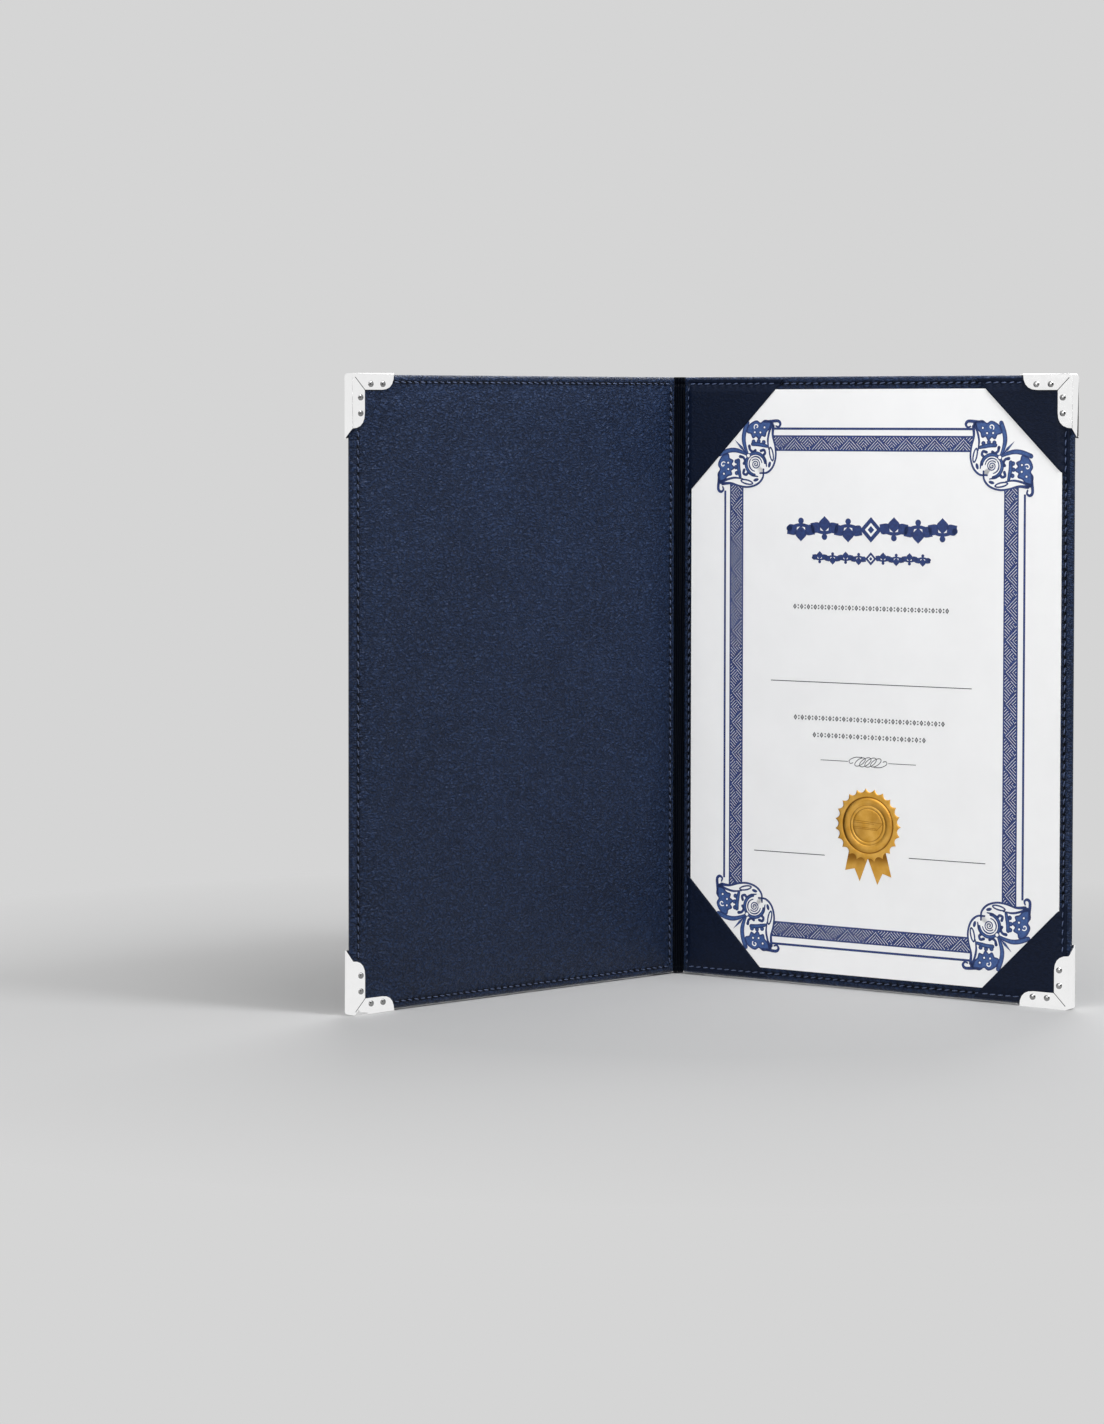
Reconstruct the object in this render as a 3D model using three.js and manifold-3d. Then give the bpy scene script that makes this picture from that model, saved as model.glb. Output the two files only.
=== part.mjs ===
// Diploma cover in padded leatherette, standing open, with metal corners and a certificate in its pockets.
// Millimetres, +Z up. The covers stand on their lower edges and open towards -Y, with the spine at the back.
// Each cover is built flat in a frame of its own: x runs from its hinge line to its free edge, y is the level
// across its thickness (inside face at minus, outside face at plus), and z runs up.

import * as THREE from 'three';
import { mergeVertices } from 'three/addons/utils/BufferGeometryUtils.js';
import Module from 'manifold-3d';

const wasm = await Module();
wasm.setup();

// The sheet that the cover is made for, and the margins that the cover leaves round it
const paperWidth = 210;
const paperHeight = 297;
const paperThickness = 0.2;
const paperToHinge = 3.1;
const paperToFreeEdge = 5.4;
const paperToEnd = 6.5;

// Overall sizes
const coverHeight = paperHeight + 2 * paperToEnd;
const coverReach = paperToHinge + paperWidth + paperToFreeEdge;
const hingeSpacing = 10.4;
const restAngle = THREE.MathUtils.degToRad(38.2);
const seatGap = 0.25;

// Leatherette and boards
const edgeRadius = 2.35;
const skinThickness = 0.6;
const hemWidth = 13;
const hemLevel = -0.35;
const stitchInset = 3.6;
const stitchDip = 0.1;
const freeCornerRadius = 1.5;
const hingeCornerRadius = 1;
const smallestRadius = 0.2;
const boardThickness = 1.5;
const boardInset = 1.8;
const outsideCrown = 2.2;
const frontInsideCrown = 0.6;
const backInsideCrown = 0.15;
const crownStart = 4.6;
const crownRun = 40;
const crownCornerRadius = 52;
const crownCornerEasing = 0.6;
const crownHingeRadius = 17.3;
const crownHingeEasing = 0.5;
const padInset = 14;

// Metal corners
const metalThickness = 0.4;
const metalCornerRadius = 2.15;
const plateLeg = 31;
const flangeLeg = 26;
const flangeWidth = 7.3;
const flangeEndRadius = 7.6;
const mitreSlit = 0.25;
const plateEndEasing = 1;
const lobeFullness = 8.7;
const lobeDepth = 9.6;
const lobeLength = 22.5;
const coveDepth = 15.8;
const cuspDepth = 16.2;
const leafTip = 12.4;
const leafFoot = 4.7;
const leafSide = [11.8, 5.3];
const fanTip = [19.8, 6.7];
const fanShoulder = [10.2, 4.8];
const fanFoot = [13.5, 10.2];
const fanTopBow = [15.4, 2.9];
const fanInnerBow = [12.9, 6.9];
const fanLowerBow = [16.2, 7.1];
const cutMargin = 1;

// Tacks that hold the metal corners
const tackInset = 4.5;
const tackPlaces = [11, 18.7];
const tackHeadRadius = 1.5;
const tackHeadHeight = 0.6;
const tackShankRadius = 0.6;
const tackPointLevel = 1;
const tackPointHeight = 0.8;
const tackHoleClearance = 0.3;
const tackHoleReach = 4.7;

// Seal on the certificate, and the pockets that hold the certificate
const sealRadius = 17.5;
const sealNotch = 1.1;
const sealTeeth = 24;
const sealCentreX = 104;
const sealCentreZ = 77;
const sealThickness = 0.15;
const ribbonWidth = 11;
const ribbonReach = 30;
const ribbonSpread = 7;
const ribbonNotch = 4;
const pocketThickness = 0.3;
const pocketInset = 1.2;
const pocketSeam = 3.4;
const pocketHingeInset = 3.5;
const pocketHingeSeam = 1.4;
const pocketLegs = { hinge_top: 60, hinge_bottom: 52, free_top: 52, free_bottom: 52 };

// Spine
const spineRise = 2.6;
const spineLip = 1;
const spineCapHeight = 0.6;
const spineCoreFoot = 0.45;
const socketFirstAngle = THREE.MathUtils.degToRad(105);
const pleatDepth = 0.5;
const pleatSpacing = 2;
const stripThickness = 0.3;
const stripWidth = 4.8;

// Fineness of curves
const crownSteps = 5;
const crownSpread = 1.6;
const rollSteps = 4;
const freeCornerSteps = 4;
const hingeCornerSteps = 2;
const smallCurveSteps = 5;
const tackHeadSteps = 3;
const roundSegments = 8;
const spineBackSteps = 20;
const pleatSteps = 40;

// Levels that follow from the sizes above
const skinInside = edgeRadius - skinThickness;
const hemInside = hemLevel - skinThickness;
const liningBack = hemInside - seatGap;
const boardBack = hemLevel + seatGap;
const boardFront = boardBack + boardThickness;
const metalOverhang = seatGap + metalThickness;
const plateLevel = edgeRadius + seatGap;
const paperFace = -edgeRadius - backInsideCrown - seatGap - paperThickness;
const pocketFace = paperFace - seatGap - pocketThickness;
const frontFlangeFace = -edgeRadius - metalOverhang;
const backFlangeFace = pocketFace - metalOverhang;

const materials = {
  leatherette: new THREE.MeshStandardMaterial({ color: 0x232f4b, roughness: 0.55, metalness: 0 }),
  lining: new THREE.MeshStandardMaterial({ color: 0x273350, roughness: 0.6, metalness: 0 }),
  foam: new THREE.MeshStandardMaterial({ color: 0xd8d4c8, roughness: 0.95, metalness: 0 }),
  greyboard: new THREE.MeshStandardMaterial({ color: 0x8f8a80, roughness: 0.9, metalness: 0 }),
  metal: new THREE.MeshStandardMaterial({ color: 0xe3e3e6, roughness: 0.18, metalness: 1 }),
  paper: new THREE.MeshStandardMaterial({ color: 0xf6f6f4, roughness: 0.7, metalness: 0 }),
  foil: new THREE.MeshStandardMaterial({ color: 0xd9b45a, roughness: 0.3, metalness: 1 }),
};

// Closed bodies from rings, and cuts

function closedBody(points, triangles) {
  const corners = [new THREE.Vector3(), new THREE.Vector3(), new THREE.Vector3()];
  let volume = 0;
  for (const triangle of triangles) {
    triangle.forEach((index, corner) => corners[corner].copy(points[index]));
    volume += corners[0].dot(corners[1].cross(corners[2]));
  }
  const facingOut = volume > 0 ? triangles : triangles.map(([a, b, c]) => [a, c, b]);
  const geometry = new THREE.BufferGeometry().setFromPoints(points);
  geometry.setIndex(facingOut.flat());
  return geometry;
}

// Joins rings of equally many points into one body, and fills the first and the last of them.
function lofted(rings) {
  const count = rings[0].length;
  const triangles = [];
  for (let ring = 1; ring < rings.length; ring += 1) {
    for (let point = 0; point < count; point += 1) {
      const next = (point + 1) % count;
      const lower = (ring - 1) * count;
      const upper = ring * count;
      triangles.push([lower + point, lower + next, upper + next]);
      triangles.push([lower + point, upper + next, upper + point]);
    }
  }
  const last = (rings.length - 1) * count;
  for (let point = 1; point < count - 1; point += 1) {
    triangles.push([0, point + 1, point]);
    triangles.push([last, last + point, last + point + 1]);
  }
  return closedBody(rings.flat(), triangles);
}

function solid(geometry) {
  const bare = new THREE.BufferGeometry();
  bare.setAttribute('position', geometry.getAttribute('position'));
  bare.setIndex(geometry.getIndex());
  const merged = mergeVertices(bare);
  const index = merged.getIndex().array;
  const kept = [];
  for (let start = 0; start < index.length; start += 3) {
    const [a, b, c] = index.slice(start, start + 3);
    if (a !== b && b !== c && c !== a) kept.push(a, b, c);
  }
  const mesh = new wasm.Mesh({
    numProp: 3,
    vertProperties: new Float32Array(merged.getAttribute('position').array),
    triVerts: new Uint32Array(kept),
  });
  return new wasm.Manifold(mesh);
}

function fromSolid(manifold) {
  const mesh = manifold.getMesh();
  const geometry = new THREE.BufferGeometry();
  geometry.setAttribute('position', new THREE.BufferAttribute(new Float32Array(mesh.vertProperties), mesh.numProp));
  geometry.setIndex(new THREE.BufferAttribute(new Uint32Array(mesh.triVerts), 1));
  return geometry;
}

function joined(...geometries) {
  return fromSolid(geometries.map(solid).reduce((whole, piece) => whole.add(piece)));
}

function cut(geometry, cutters) {
  return fromSolid(cutters.map(solid).reduce((whole, cutter) => whole.subtract(cutter), solid(geometry)));
}

// A plate in the cover's frame: its outline is drawn in x and z, and it lies between two levels.
function plate(outline, lowLevel, highLevel, curveSegments = smallCurveSteps) {
  const depth = highLevel - lowLevel;
  const geometry = new THREE.ExtrudeGeometry(outline, { depth, bevelEnabled: false, curveSegments });
  geometry.rotateX(Math.PI / 2);
  geometry.translate(0, highLevel, 0);
  return geometry;
}

function roundHole(x, z, radius) {
  const points = [];
  for (let step = 0; step < roundSegments; step += 1) {
    const angle = 2 * Math.PI * step / roundSegments;
    points.push(new THREE.Vector2(x + radius * Math.cos(angle), z + radius * Math.sin(angle)));
  }
  return new THREE.Path(points);
}

// Outline of a cover, drawn in by an inset, with one radius at the free corners and one at the hinge corners

function coverRing(inset, level, freeRadius, hingeRadius) {
  const left = -edgeRadius + inset;
  const right = coverReach - inset;
  const bottom = inset;
  const top = coverHeight - inset;
  const corners = [
    { x: left + hingeRadius, z: bottom + hingeRadius, radius: hingeRadius, steps: hingeCornerSteps },
    { x: right - freeRadius, z: bottom + freeRadius, radius: freeRadius, steps: freeCornerSteps },
    { x: right - freeRadius, z: top - freeRadius, radius: freeRadius, steps: freeCornerSteps },
    { x: left + hingeRadius, z: top - hingeRadius, radius: hingeRadius, steps: hingeCornerSteps },
  ];
  const points = [];
  corners.forEach((corner, quarter) => {
    for (let step = 0; step <= corner.steps; step += 1) {
      const angle = (quarter + 2 + step / corner.steps) * Math.PI / 2;
      const x = corner.x + corner.radius * Math.cos(angle);
      const z = corner.z + corner.radius * Math.sin(angle);
      points.push(new THREE.Vector3(x, level, z));
    }
  });
  return points;
}

// The edge keeps the small radii of the cover's corners.
function edgeRing(inset, level) {
  const freeRadius = Math.max(freeCornerRadius - inset, smallestRadius);
  const hingeRadius = Math.max(hingeCornerRadius - inset, smallestRadius);
  return coverRing(inset, level, freeRadius, hingeRadius);
}

// The padding swells behind the stitches and stays clear of the metal corners.
function crownRing(inset, level) {
  const freeRadius = crownCornerRadius - crownCornerEasing * (inset - crownStart);
  const hingeRadius = Math.min(crownHingeEasing * inset, crownHingeRadius);
  return coverRing(inset, level, freeRadius, hingeRadius);
}

function crownShare(inset) {
  const share = THREE.MathUtils.clamp((inset - crownStart) / crownRun, 0, 1);
  return Math.sin(share * Math.PI / 2);
}

// Rings over a padded face, from the middle out to a first inset. The side is 1 outside and -1 inside.
function crownRings(side, edgeLevel, crown, firstInset) {
  const rings = [];
  const run = crownStart + crownRun - firstInset;
  for (let step = crownSteps; step >= 0; step -= 1) {
    const inset = firstInset + run * (step / crownSteps) ** crownSpread;
    rings.push(crownRing(inset, side * (edgeLevel + crown * crownShare(inset))));
  }
  return rings;
}

// Rings round a rolled edge of a given radius, between two angles from the middle of the thickness
function rollRings(radius, fromDegrees, toDegrees) {
  const rings = [];
  for (let step = 0; step <= rollSteps; step += 1) {
    const angle = THREE.MathUtils.degToRad(fromDegrees + (toDegrees - fromDegrees) * step / rollSteps);
    rings.push(edgeRing(edgeRadius - radius * Math.cos(angle), radius * Math.sin(angle)));
  }
  return rings;
}

// Soft layers of a cover

function skinBody() {
  const hemAngle = THREE.MathUtils.radToDeg(Math.asin(hemInside / edgeRadius));
  const insideAngle = THREE.MathUtils.radToDeg(Math.asin(hemLevel / skinInside));
  return lofted([
    ...crownRings(1, edgeRadius, outsideCrown, crownStart),
    edgeRing(stitchInset, edgeRadius - stitchDip),
    ...rollRings(edgeRadius, 90, hemAngle),
    edgeRing(hemWidth, hemInside),
    edgeRing(hemWidth, hemLevel),
    ...rollRings(skinInside, insideAngle, 90),
    edgeRing(stitchInset, skinInside - stitchDip),
    ...crownRings(1, skinInside, outsideCrown, crownStart).reverse(),
  ]);
}

function outerPadBody() {
  const top = skinInside - seatGap;
  const upper = crownRings(1, top, outsideCrown, padInset);
  const bottom = boardFront + seatGap;
  return lofted([...upper, crownRing(padInset, bottom)]);
}

function boardBody(holes) {
  const ring = edgeRing(boardInset, boardFront);
  const outline = new THREE.Shape(ring.map((point) => new THREE.Vector2(point.x, point.z)));
  outline.holes = holes;
  return plate(outline, boardBack, boardFront);
}

function innerPadBody(crown) {
  const front = crownRings(-1, -hemInside, crown, padInset);
  return lofted([...front, crownRing(padInset, hemLevel)]);
}

function liningBody(crown) {
  const backAngle = THREE.MathUtils.radToDeg(Math.asin(liningBack / edgeRadius));
  return lofted([
    ...crownRings(-1, edgeRadius, crown, crownStart),
    edgeRing(stitchInset, stitchDip - edgeRadius),
    ...rollRings(edgeRadius, -90, backAngle),
    edgeRing(stitchInset, liningBack),
    ...crownRings(-1, -liningBack, crown, crownStart).reverse(),
  ]);
}

// Metal corner: one stamping with an ornate plate outside, edge walls, and an L flange inside.
// Its own frame has its origin at the cover's corner, with the two legs along -x and -z.

function outlineAtCorner(start, legs) {
  const outline = new THREE.Shape();
  const centre = metalOverhang - metalCornerRadius;
  outline.moveTo(metalOverhang, -start);
  outline.absarc(centre, centre, metalCornerRadius, 0, Math.PI / 2, false);
  outline.lineTo(-start, metalOverhang);
  legs(outline);
  outline.closePath();
  return outline;
}

// Adds a curve and its mirror image about the corner's diagonal as holes.
function addTwinHoles(outline, points) {
  for (const swap of [false, true]) {
    const hole = new THREE.Path();
    const place = ([u, v]) => (swap ? [-v, -u] : [-u, -v]);
    hole.moveTo(...place(points[0]));
    for (let index = 1; index < points.length; index += 2) {
      hole.quadraticCurveTo(...place(points[index]), ...place(points[index + 1]));
    }
    outline.holes.push(hole);
  }
}

function ornatePlate() {
  const easedEnd = plateLeg - plateEndEasing;
  const outline = outlineAtCorner(plateLeg, (shape) => {
    shape.quadraticCurveTo(-easedEnd, -lobeFullness, -lobeLength, -lobeDepth);
    shape.quadraticCurveTo(-coveDepth, -lobeDepth, -cuspDepth, -cuspDepth);
    shape.quadraticCurveTo(-lobeDepth, -coveDepth, -lobeDepth, -lobeLength);
    shape.quadraticCurveTo(-lobeFullness, -easedEnd, metalOverhang, -plateLeg);
  });
  const [sideAlong, sideAcross] = leafSide;
  const leaf = new THREE.Path();
  leaf.moveTo(-leafTip, -leafTip);
  leaf.quadraticCurveTo(-sideAlong, -sideAcross, -leafFoot, -leafFoot);
  leaf.quadraticCurveTo(-sideAcross, -sideAlong, -leafTip, -leafTip);
  outline.holes.push(leaf);
  addTwinHoles(outline, [fanTip, fanTopBow, fanShoulder, fanInnerBow, fanFoot, fanLowerBow, fanTip]);
  return plate(outline, plateLevel, plateLevel + metalThickness);
}

function flangePlate(face) {
  const end = flangeLeg - flangeEndRadius;
  const slitEnd = metalCornerRadius / 2;
  const outline = outlineAtCorner(flangeLeg, (shape) => {
    shape.quadraticCurveTo(-flangeLeg, -flangeWidth, -end, -flangeWidth);
    shape.lineTo(-flangeWidth - mitreSlit, -flangeWidth);
    shape.lineTo(-slitEnd - mitreSlit, -slitEnd);
    shape.lineTo(-slitEnd, -slitEnd - mitreSlit);
    shape.lineTo(-flangeWidth, -flangeWidth - mitreSlit);
    shape.lineTo(-flangeWidth, -end);
    shape.quadraticCurveTo(-flangeWidth, -flangeLeg, metalOverhang, -flangeLeg);
  });
  for (const place of tackPlaces) {
    for (const [x, z] of [[-place, -tackInset], [-tackInset, -place]]) {
      outline.holes.push(roundHole(x, z, tackShankRadius + tackHoleClearance));
    }
  }
  return plate(outline, face, face + metalThickness);
}

function edgeWall(face) {
  const innerRadius = metalCornerRadius - metalThickness;
  const centre = metalOverhang - metalCornerRadius;
  const outline = outlineAtCorner(plateLeg, (shape) => {
    shape.lineTo(-plateLeg, seatGap);
    shape.absarc(centre, centre, innerRadius, Math.PI / 2, 0, true);
    shape.lineTo(seatGap, -plateLeg);
  });
  return plate(outline, face, plateLevel + metalThickness);
}

// The walls run out in a slope, from the longer plate to the shorter flange.
function wallEndCutter(face, onSide) {
  const beyond = plateLeg + cutMargin;
  const outline = [
    [-beyond, face - cutMargin],
    [-flangeLeg, face - cutMargin],
    [-flangeLeg, face],
    [-plateLeg, plateLevel],
    [-beyond, plateLevel],
  ];
  const ring = (across) => outline.map(([along, level]) => (
    onSide ? new THREE.Vector3(across, level, along) : new THREE.Vector3(along, level, across)
  ));
  return lofted([ring(0), ring(2 * metalOverhang)]);
}

function metalCornerBody(face) {
  const cutters = [wallEndCutter(face, false), wallEndCutter(face, true)];
  return cut(joined(edgeWall(face), ornatePlate(), flangePlate(face)), cutters);
}

function tackBody(face) {
  const underHead = face - seatGap;
  const profile = [new THREE.Vector2(0, underHead - tackHeadHeight)];
  for (let step = 1; step <= tackHeadSteps; step += 1) {
    const angle = step / tackHeadSteps * Math.PI / 2;
    profile.push(new THREE.Vector2(tackHeadRadius * Math.sin(angle), underHead - tackHeadHeight * Math.cos(angle)));
  }
  profile.push(new THREE.Vector2(tackShankRadius, underHead));
  profile.push(new THREE.Vector2(tackShankRadius, tackPointLevel - tackPointHeight));
  profile.push(new THREE.Vector2(0, tackPointLevel));
  return new THREE.LatheGeometry(profile, roundSegments);
}

// Places of the tacks in a cover's frame, corner by corner
function tackSites(cornerZ, down) {
  const sites = [];
  for (const place of tackPlaces) {
    sites.push({ x: coverReach - place, z: cornerZ - down * tackInset });
    sites.push({ x: coverReach - tackInset, z: cornerZ - down * place });
  }
  return sites;
}

function tackHolePaths(sites) {
  return sites.map(({ x, z }) => roundHole(x, z, tackShankRadius + tackHoleClearance));
}

function tackHoleCutters(sites, lowLevel, highLevel) {
  const radius = tackShankRadius + tackHoleClearance;
  return sites.map(({ x, z }) => {
    const cutter = new THREE.CylinderGeometry(radius, radius, highLevel - lowLevel, roundSegments);
    return cutter.translate(x, (lowLevel + highLevel) / 2, z);
  });
}

// Certificate, seal and pockets

function certificateBody() {
  const geometry = new THREE.BoxGeometry(paperWidth, paperThickness, paperHeight);
  const middleX = paperToHinge + paperWidth / 2;
  return geometry.translate(middleX, paperFace + paperThickness / 2, paperToEnd + paperHeight / 2);
}

function ribbonOutline(side) {
  const outline = new THREE.Shape();
  const foot = side * ribbonSpread;
  outline.moveTo(-ribbonWidth / 2, 0);
  outline.lineTo(foot - ribbonWidth / 2, -ribbonReach);
  outline.lineTo(foot, -ribbonReach + ribbonNotch);
  outline.lineTo(foot + ribbonWidth / 2, -ribbonReach);
  outline.lineTo(ribbonWidth / 2, 0);
  return outline;
}

function sealBody() {
  const rosette = new THREE.Shape();
  for (let tooth = 0; tooth < 2 * sealTeeth; tooth += 1) {
    const angle = tooth * Math.PI / sealTeeth;
    const radius = tooth % 2 ? sealRadius - sealNotch : sealRadius;
    const place = [radius * Math.cos(angle), radius * Math.sin(angle)];
    if (tooth) rosette.lineTo(...place);
    else rosette.moveTo(...place);
  }
  const front = paperFace - seatGap - sealThickness;
  const back = paperFace - seatGap;
  const plates = [rosette, ribbonOutline(-1), ribbonOutline(1)].map((outline) => plate(outline, front, back));
  return joined(...plates).translate(paperToHinge + sealCentreX, 0, paperToEnd + sealCentreZ);
}

// A pocket is a leatherette triangle over a corner of the paper, sewn down along the cover's two edges.
function pocketBody(atFreeEdge, atTop, leg, holes) {
  const edgeX = atFreeEdge ? coverReach : -edgeRadius;
  const edgeZ = atTop ? coverHeight : 0;
  const inwardX = atFreeEdge ? -1 : 1;
  const inwardZ = atTop ? -1 : 1;
  const place = (u, v) => new THREE.Vector2(edgeX + inwardX * u, edgeZ + inwardZ * v);
  const u = atFreeEdge ? pocketInset : pocketHingeInset;
  const v = pocketInset;
  const seamU = atFreeEdge ? pocketSeam : pocketHingeSeam;
  const seamV = pocketSeam;
  const slope = (leg - v) / (leg - u);
  const triangle = new THREE.Shape([place(u, v), place(leg, v), place(u, leg)]);
  const seam = new THREE.Shape([
    place(u, v),
    place(leg, v),
    place(leg - seamV / slope, v + seamV),
    place(u + seamU, v + seamV),
    place(u + seamU, leg - seamU * slope),
    place(u, leg),
  ]);
  const seamBack = -edgeRadius - seatGap;
  const face = plate(triangle, pocketFace, pocketFace + pocketThickness);
  return cut(joined(face, plate(seam, pocketFace, seamBack)), holes);
}

// Spine pieces, drawn in x and y and drawn out upwards

function upright(points, bottom, top) {
  const outline = new THREE.Shape(points);
  const geometry = new THREE.ExtrudeGeometry(outline, { depth: top - bottom, bevelEnabled: false });
  return geometry.translate(0, 0, bottom);
}

// The inside of the spine's skin runs in a groove over each hinge line and is rounded between them.
function spineBack(x) {
  const share = THREE.MathUtils.clamp(1 - Math.abs(x) / (hingeSpacing / 2), 0, 1);
  return edgeRadius + seatGap + spineRise * Math.sin(share * Math.PI / 2);
}

function spineBackPoints(lift, halfWidth) {
  const points = [];
  for (let step = 0; step <= spineBackSteps; step += 1) {
    const x = halfWidth * (2 * step / spineBackSteps - 1);
    points.push(new THREE.Vector2(x, spineBack(x) + lift));
  }
  return points;
}

// The core's sides are hollow, so that the rolled edges of the covers turn in them.
function spineCorePoints(lift) {
  const socket = edgeRadius + seatGap;
  const lastAngle = Math.PI - Math.asin(spineCoreFoot / socket);
  const right = [];
  for (let step = 0; step <= smallCurveSteps; step += 1) {
    const angle = socketFirstAngle + (lastAngle - socketFirstAngle) * step / smallCurveSteps;
    right.push(new THREE.Vector2(hingeSpacing / 2 + socket * Math.cos(angle), socket * Math.sin(angle)));
  }
  const left = right.map((point) => new THREE.Vector2(-point.x, point.y)).reverse();
  return [...spineBackPoints(lift, right[0].x + seatGap / 2), ...right, ...left];
}

function spineSkinBody() {
  const half = hingeSpacing / 2 + spineLip;
  const band = [...spineBackPoints(0, half), ...spineBackPoints(skinThickness, half).reverse()];
  const cap = spineCorePoints(skinThickness / 2);
  return joined(
    upright(band, 0, coverHeight),
    upright(cap, 0, spineCapHeight),
    upright(cap, coverHeight - spineCapHeight, coverHeight),
  );
}

function spineCoreBody() {
  const end = spineCapHeight + seatGap;
  return upright(spineCorePoints(-seatGap), end, coverHeight - end);
}

// The inner strip is gathered into pleats that run the height of the spine.
function spineStripBody() {
  const back = spineCoreFoot - seatGap;
  const points = [new THREE.Vector2(stripWidth / 2, back), new THREE.Vector2(-stripWidth / 2, back)];
  for (let step = 0; step <= pleatSteps; step += 1) {
    const x = stripWidth * (step / pleatSteps - 1 / 2);
    const ridge = (1 - Math.cos(2 * Math.PI * x / pleatSpacing)) / 2;
    points.push(new THREE.Vector2(x, back - stripThickness - pleatDepth * ridge));
  }
  return upright(points, 0, coverHeight);
}

// Assembly

function piece(name, geometry, material, x = 0, z = 0) {
  const mesh = new THREE.Mesh(geometry, material);
  mesh.name = name;
  mesh.position.set(x, 0, z);
  return mesh;
}

// One cover with its metal corners. Turned over, its upper corner in this frame is the lower one.
function coverGroup(prefix, turnedOver, flangeFace, insideCrown) {
  const group = new THREE.Group();
  const ends = [
    { name: turnedOver ? 'bottom' : 'top', z: coverHeight, down: 1, turn: 0 },
    { name: turnedOver ? 'top' : 'bottom', z: 0, down: -1, turn: Math.PI / 2 },
  ];
  const sites = ends.flatMap((end) => tackSites(end.z, end.down));
  const hemHoles = tackHoleCutters(sites, hemInside - seatGap / 2, hemLevel + seatGap);
  const liningHoles = tackHoleCutters(sites, -tackHoleReach, liningBack + seatGap / 2);
  group.add(piece(`${prefix}_skin`, cut(skinBody(), hemHoles), materials.leatherette));
  group.add(piece(`${prefix}_outer_pad`, outerPadBody(), materials.foam));
  group.add(piece(`${prefix}_board`, boardBody(tackHolePaths(sites)), materials.greyboard));
  group.add(piece(`${prefix}_inner_pad`, innerPadBody(insideCrown), materials.foam));
  group.add(piece(`${prefix}_lining`, cut(liningBody(insideCrown), liningHoles), materials.lining));
  const cornerGeometry = metalCornerBody(flangeFace);
  const tackGeometry = tackBody(flangeFace);
  for (const end of ends) {
    const name = `${prefix}_corner_${end.name}`;
    const corner = piece(name, cornerGeometry, materials.metal, coverReach, end.z);
    corner.rotation.y = end.turn;
    group.add(corner);
    tackSites(end.z, end.down).forEach(({ x, z }, index) => {
      group.add(piece(`${name}_tack_${index + 1}`, tackGeometry, materials.metal, x, z));
    });
  }
  return group;
}

function addCertificate(group) {
  const corners = [
    { name: 'hinge_top', atFreeEdge: false, atTop: true },
    { name: 'hinge_bottom', atFreeEdge: false, atTop: false },
    { name: 'free_top', atFreeEdge: true, atTop: true },
    { name: 'free_bottom', atFreeEdge: true, atTop: false },
  ];
  for (const { name, atFreeEdge, atTop } of corners) {
    const sites = atTop ? tackSites(coverHeight, 1) : tackSites(0, -1);
    const holes = atFreeEdge ? tackHoleCutters(sites, pocketFace - seatGap, 0) : [];
    const geometry = pocketBody(atFreeEdge, atTop, pocketLegs[name], holes);
    group.add(piece(`pocket_${name}`, geometry, materials.leatherette));
  }
  group.add(piece('certificate', certificateBody(), materials.paper));
  group.add(piece('certificate_seal', sealBody(), materials.foil));
}

function diplomaCover() {
  const whole = new THREE.Group();

  const spine = new THREE.Group();
  spine.add(piece('spine_skin', spineSkinBody(), materials.leatherette));
  spine.add(piece('spine_core', spineCoreBody(), materials.greyboard));
  spine.add(piece('spine_strip', spineStripBody(), materials.lining));

  const front = new THREE.Group();
  const frontPieces = coverGroup('front', true, frontFlangeFace, frontInsideCrown);
  frontPieces.rotation.y = Math.PI;
  frontPieces.position.z = coverHeight;
  front.add(frontPieces);
  front.position.x = -hingeSpacing / 2;
  front.rotation.z = restAngle;

  const back = coverGroup('back', false, backFlangeFace, backInsideCrown);
  addCertificate(back);
  back.position.x = hingeSpacing / 2;
  back.rotation.z = -restAngle;

  whole.add(spine, front, back);
  const box = new THREE.Box3().setFromObject(whole, true);
  whole.position.set(0, -(box.min.y + box.max.y) / 2, -box.min.z);
  return whole;
}

export default diplomaCover();
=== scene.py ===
import math

import bmesh
import bpy
import numpy as np
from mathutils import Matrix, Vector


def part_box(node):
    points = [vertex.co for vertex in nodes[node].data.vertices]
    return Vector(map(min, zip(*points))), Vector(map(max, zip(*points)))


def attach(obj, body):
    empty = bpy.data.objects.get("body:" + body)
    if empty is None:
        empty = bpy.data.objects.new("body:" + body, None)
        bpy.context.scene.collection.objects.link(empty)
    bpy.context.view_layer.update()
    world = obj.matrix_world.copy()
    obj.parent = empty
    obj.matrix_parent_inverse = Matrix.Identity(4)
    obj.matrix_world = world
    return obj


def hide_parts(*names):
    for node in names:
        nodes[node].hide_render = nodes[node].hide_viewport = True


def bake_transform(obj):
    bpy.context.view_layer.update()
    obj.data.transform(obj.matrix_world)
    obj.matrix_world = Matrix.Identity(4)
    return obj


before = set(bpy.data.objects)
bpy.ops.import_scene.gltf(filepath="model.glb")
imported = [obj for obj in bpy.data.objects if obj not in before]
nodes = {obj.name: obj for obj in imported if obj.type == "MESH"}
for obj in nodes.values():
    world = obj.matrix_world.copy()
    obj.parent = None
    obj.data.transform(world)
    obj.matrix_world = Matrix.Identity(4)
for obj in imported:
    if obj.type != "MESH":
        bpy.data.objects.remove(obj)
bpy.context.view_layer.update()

scene = bpy.context.scene
mm = 0.001

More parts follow.
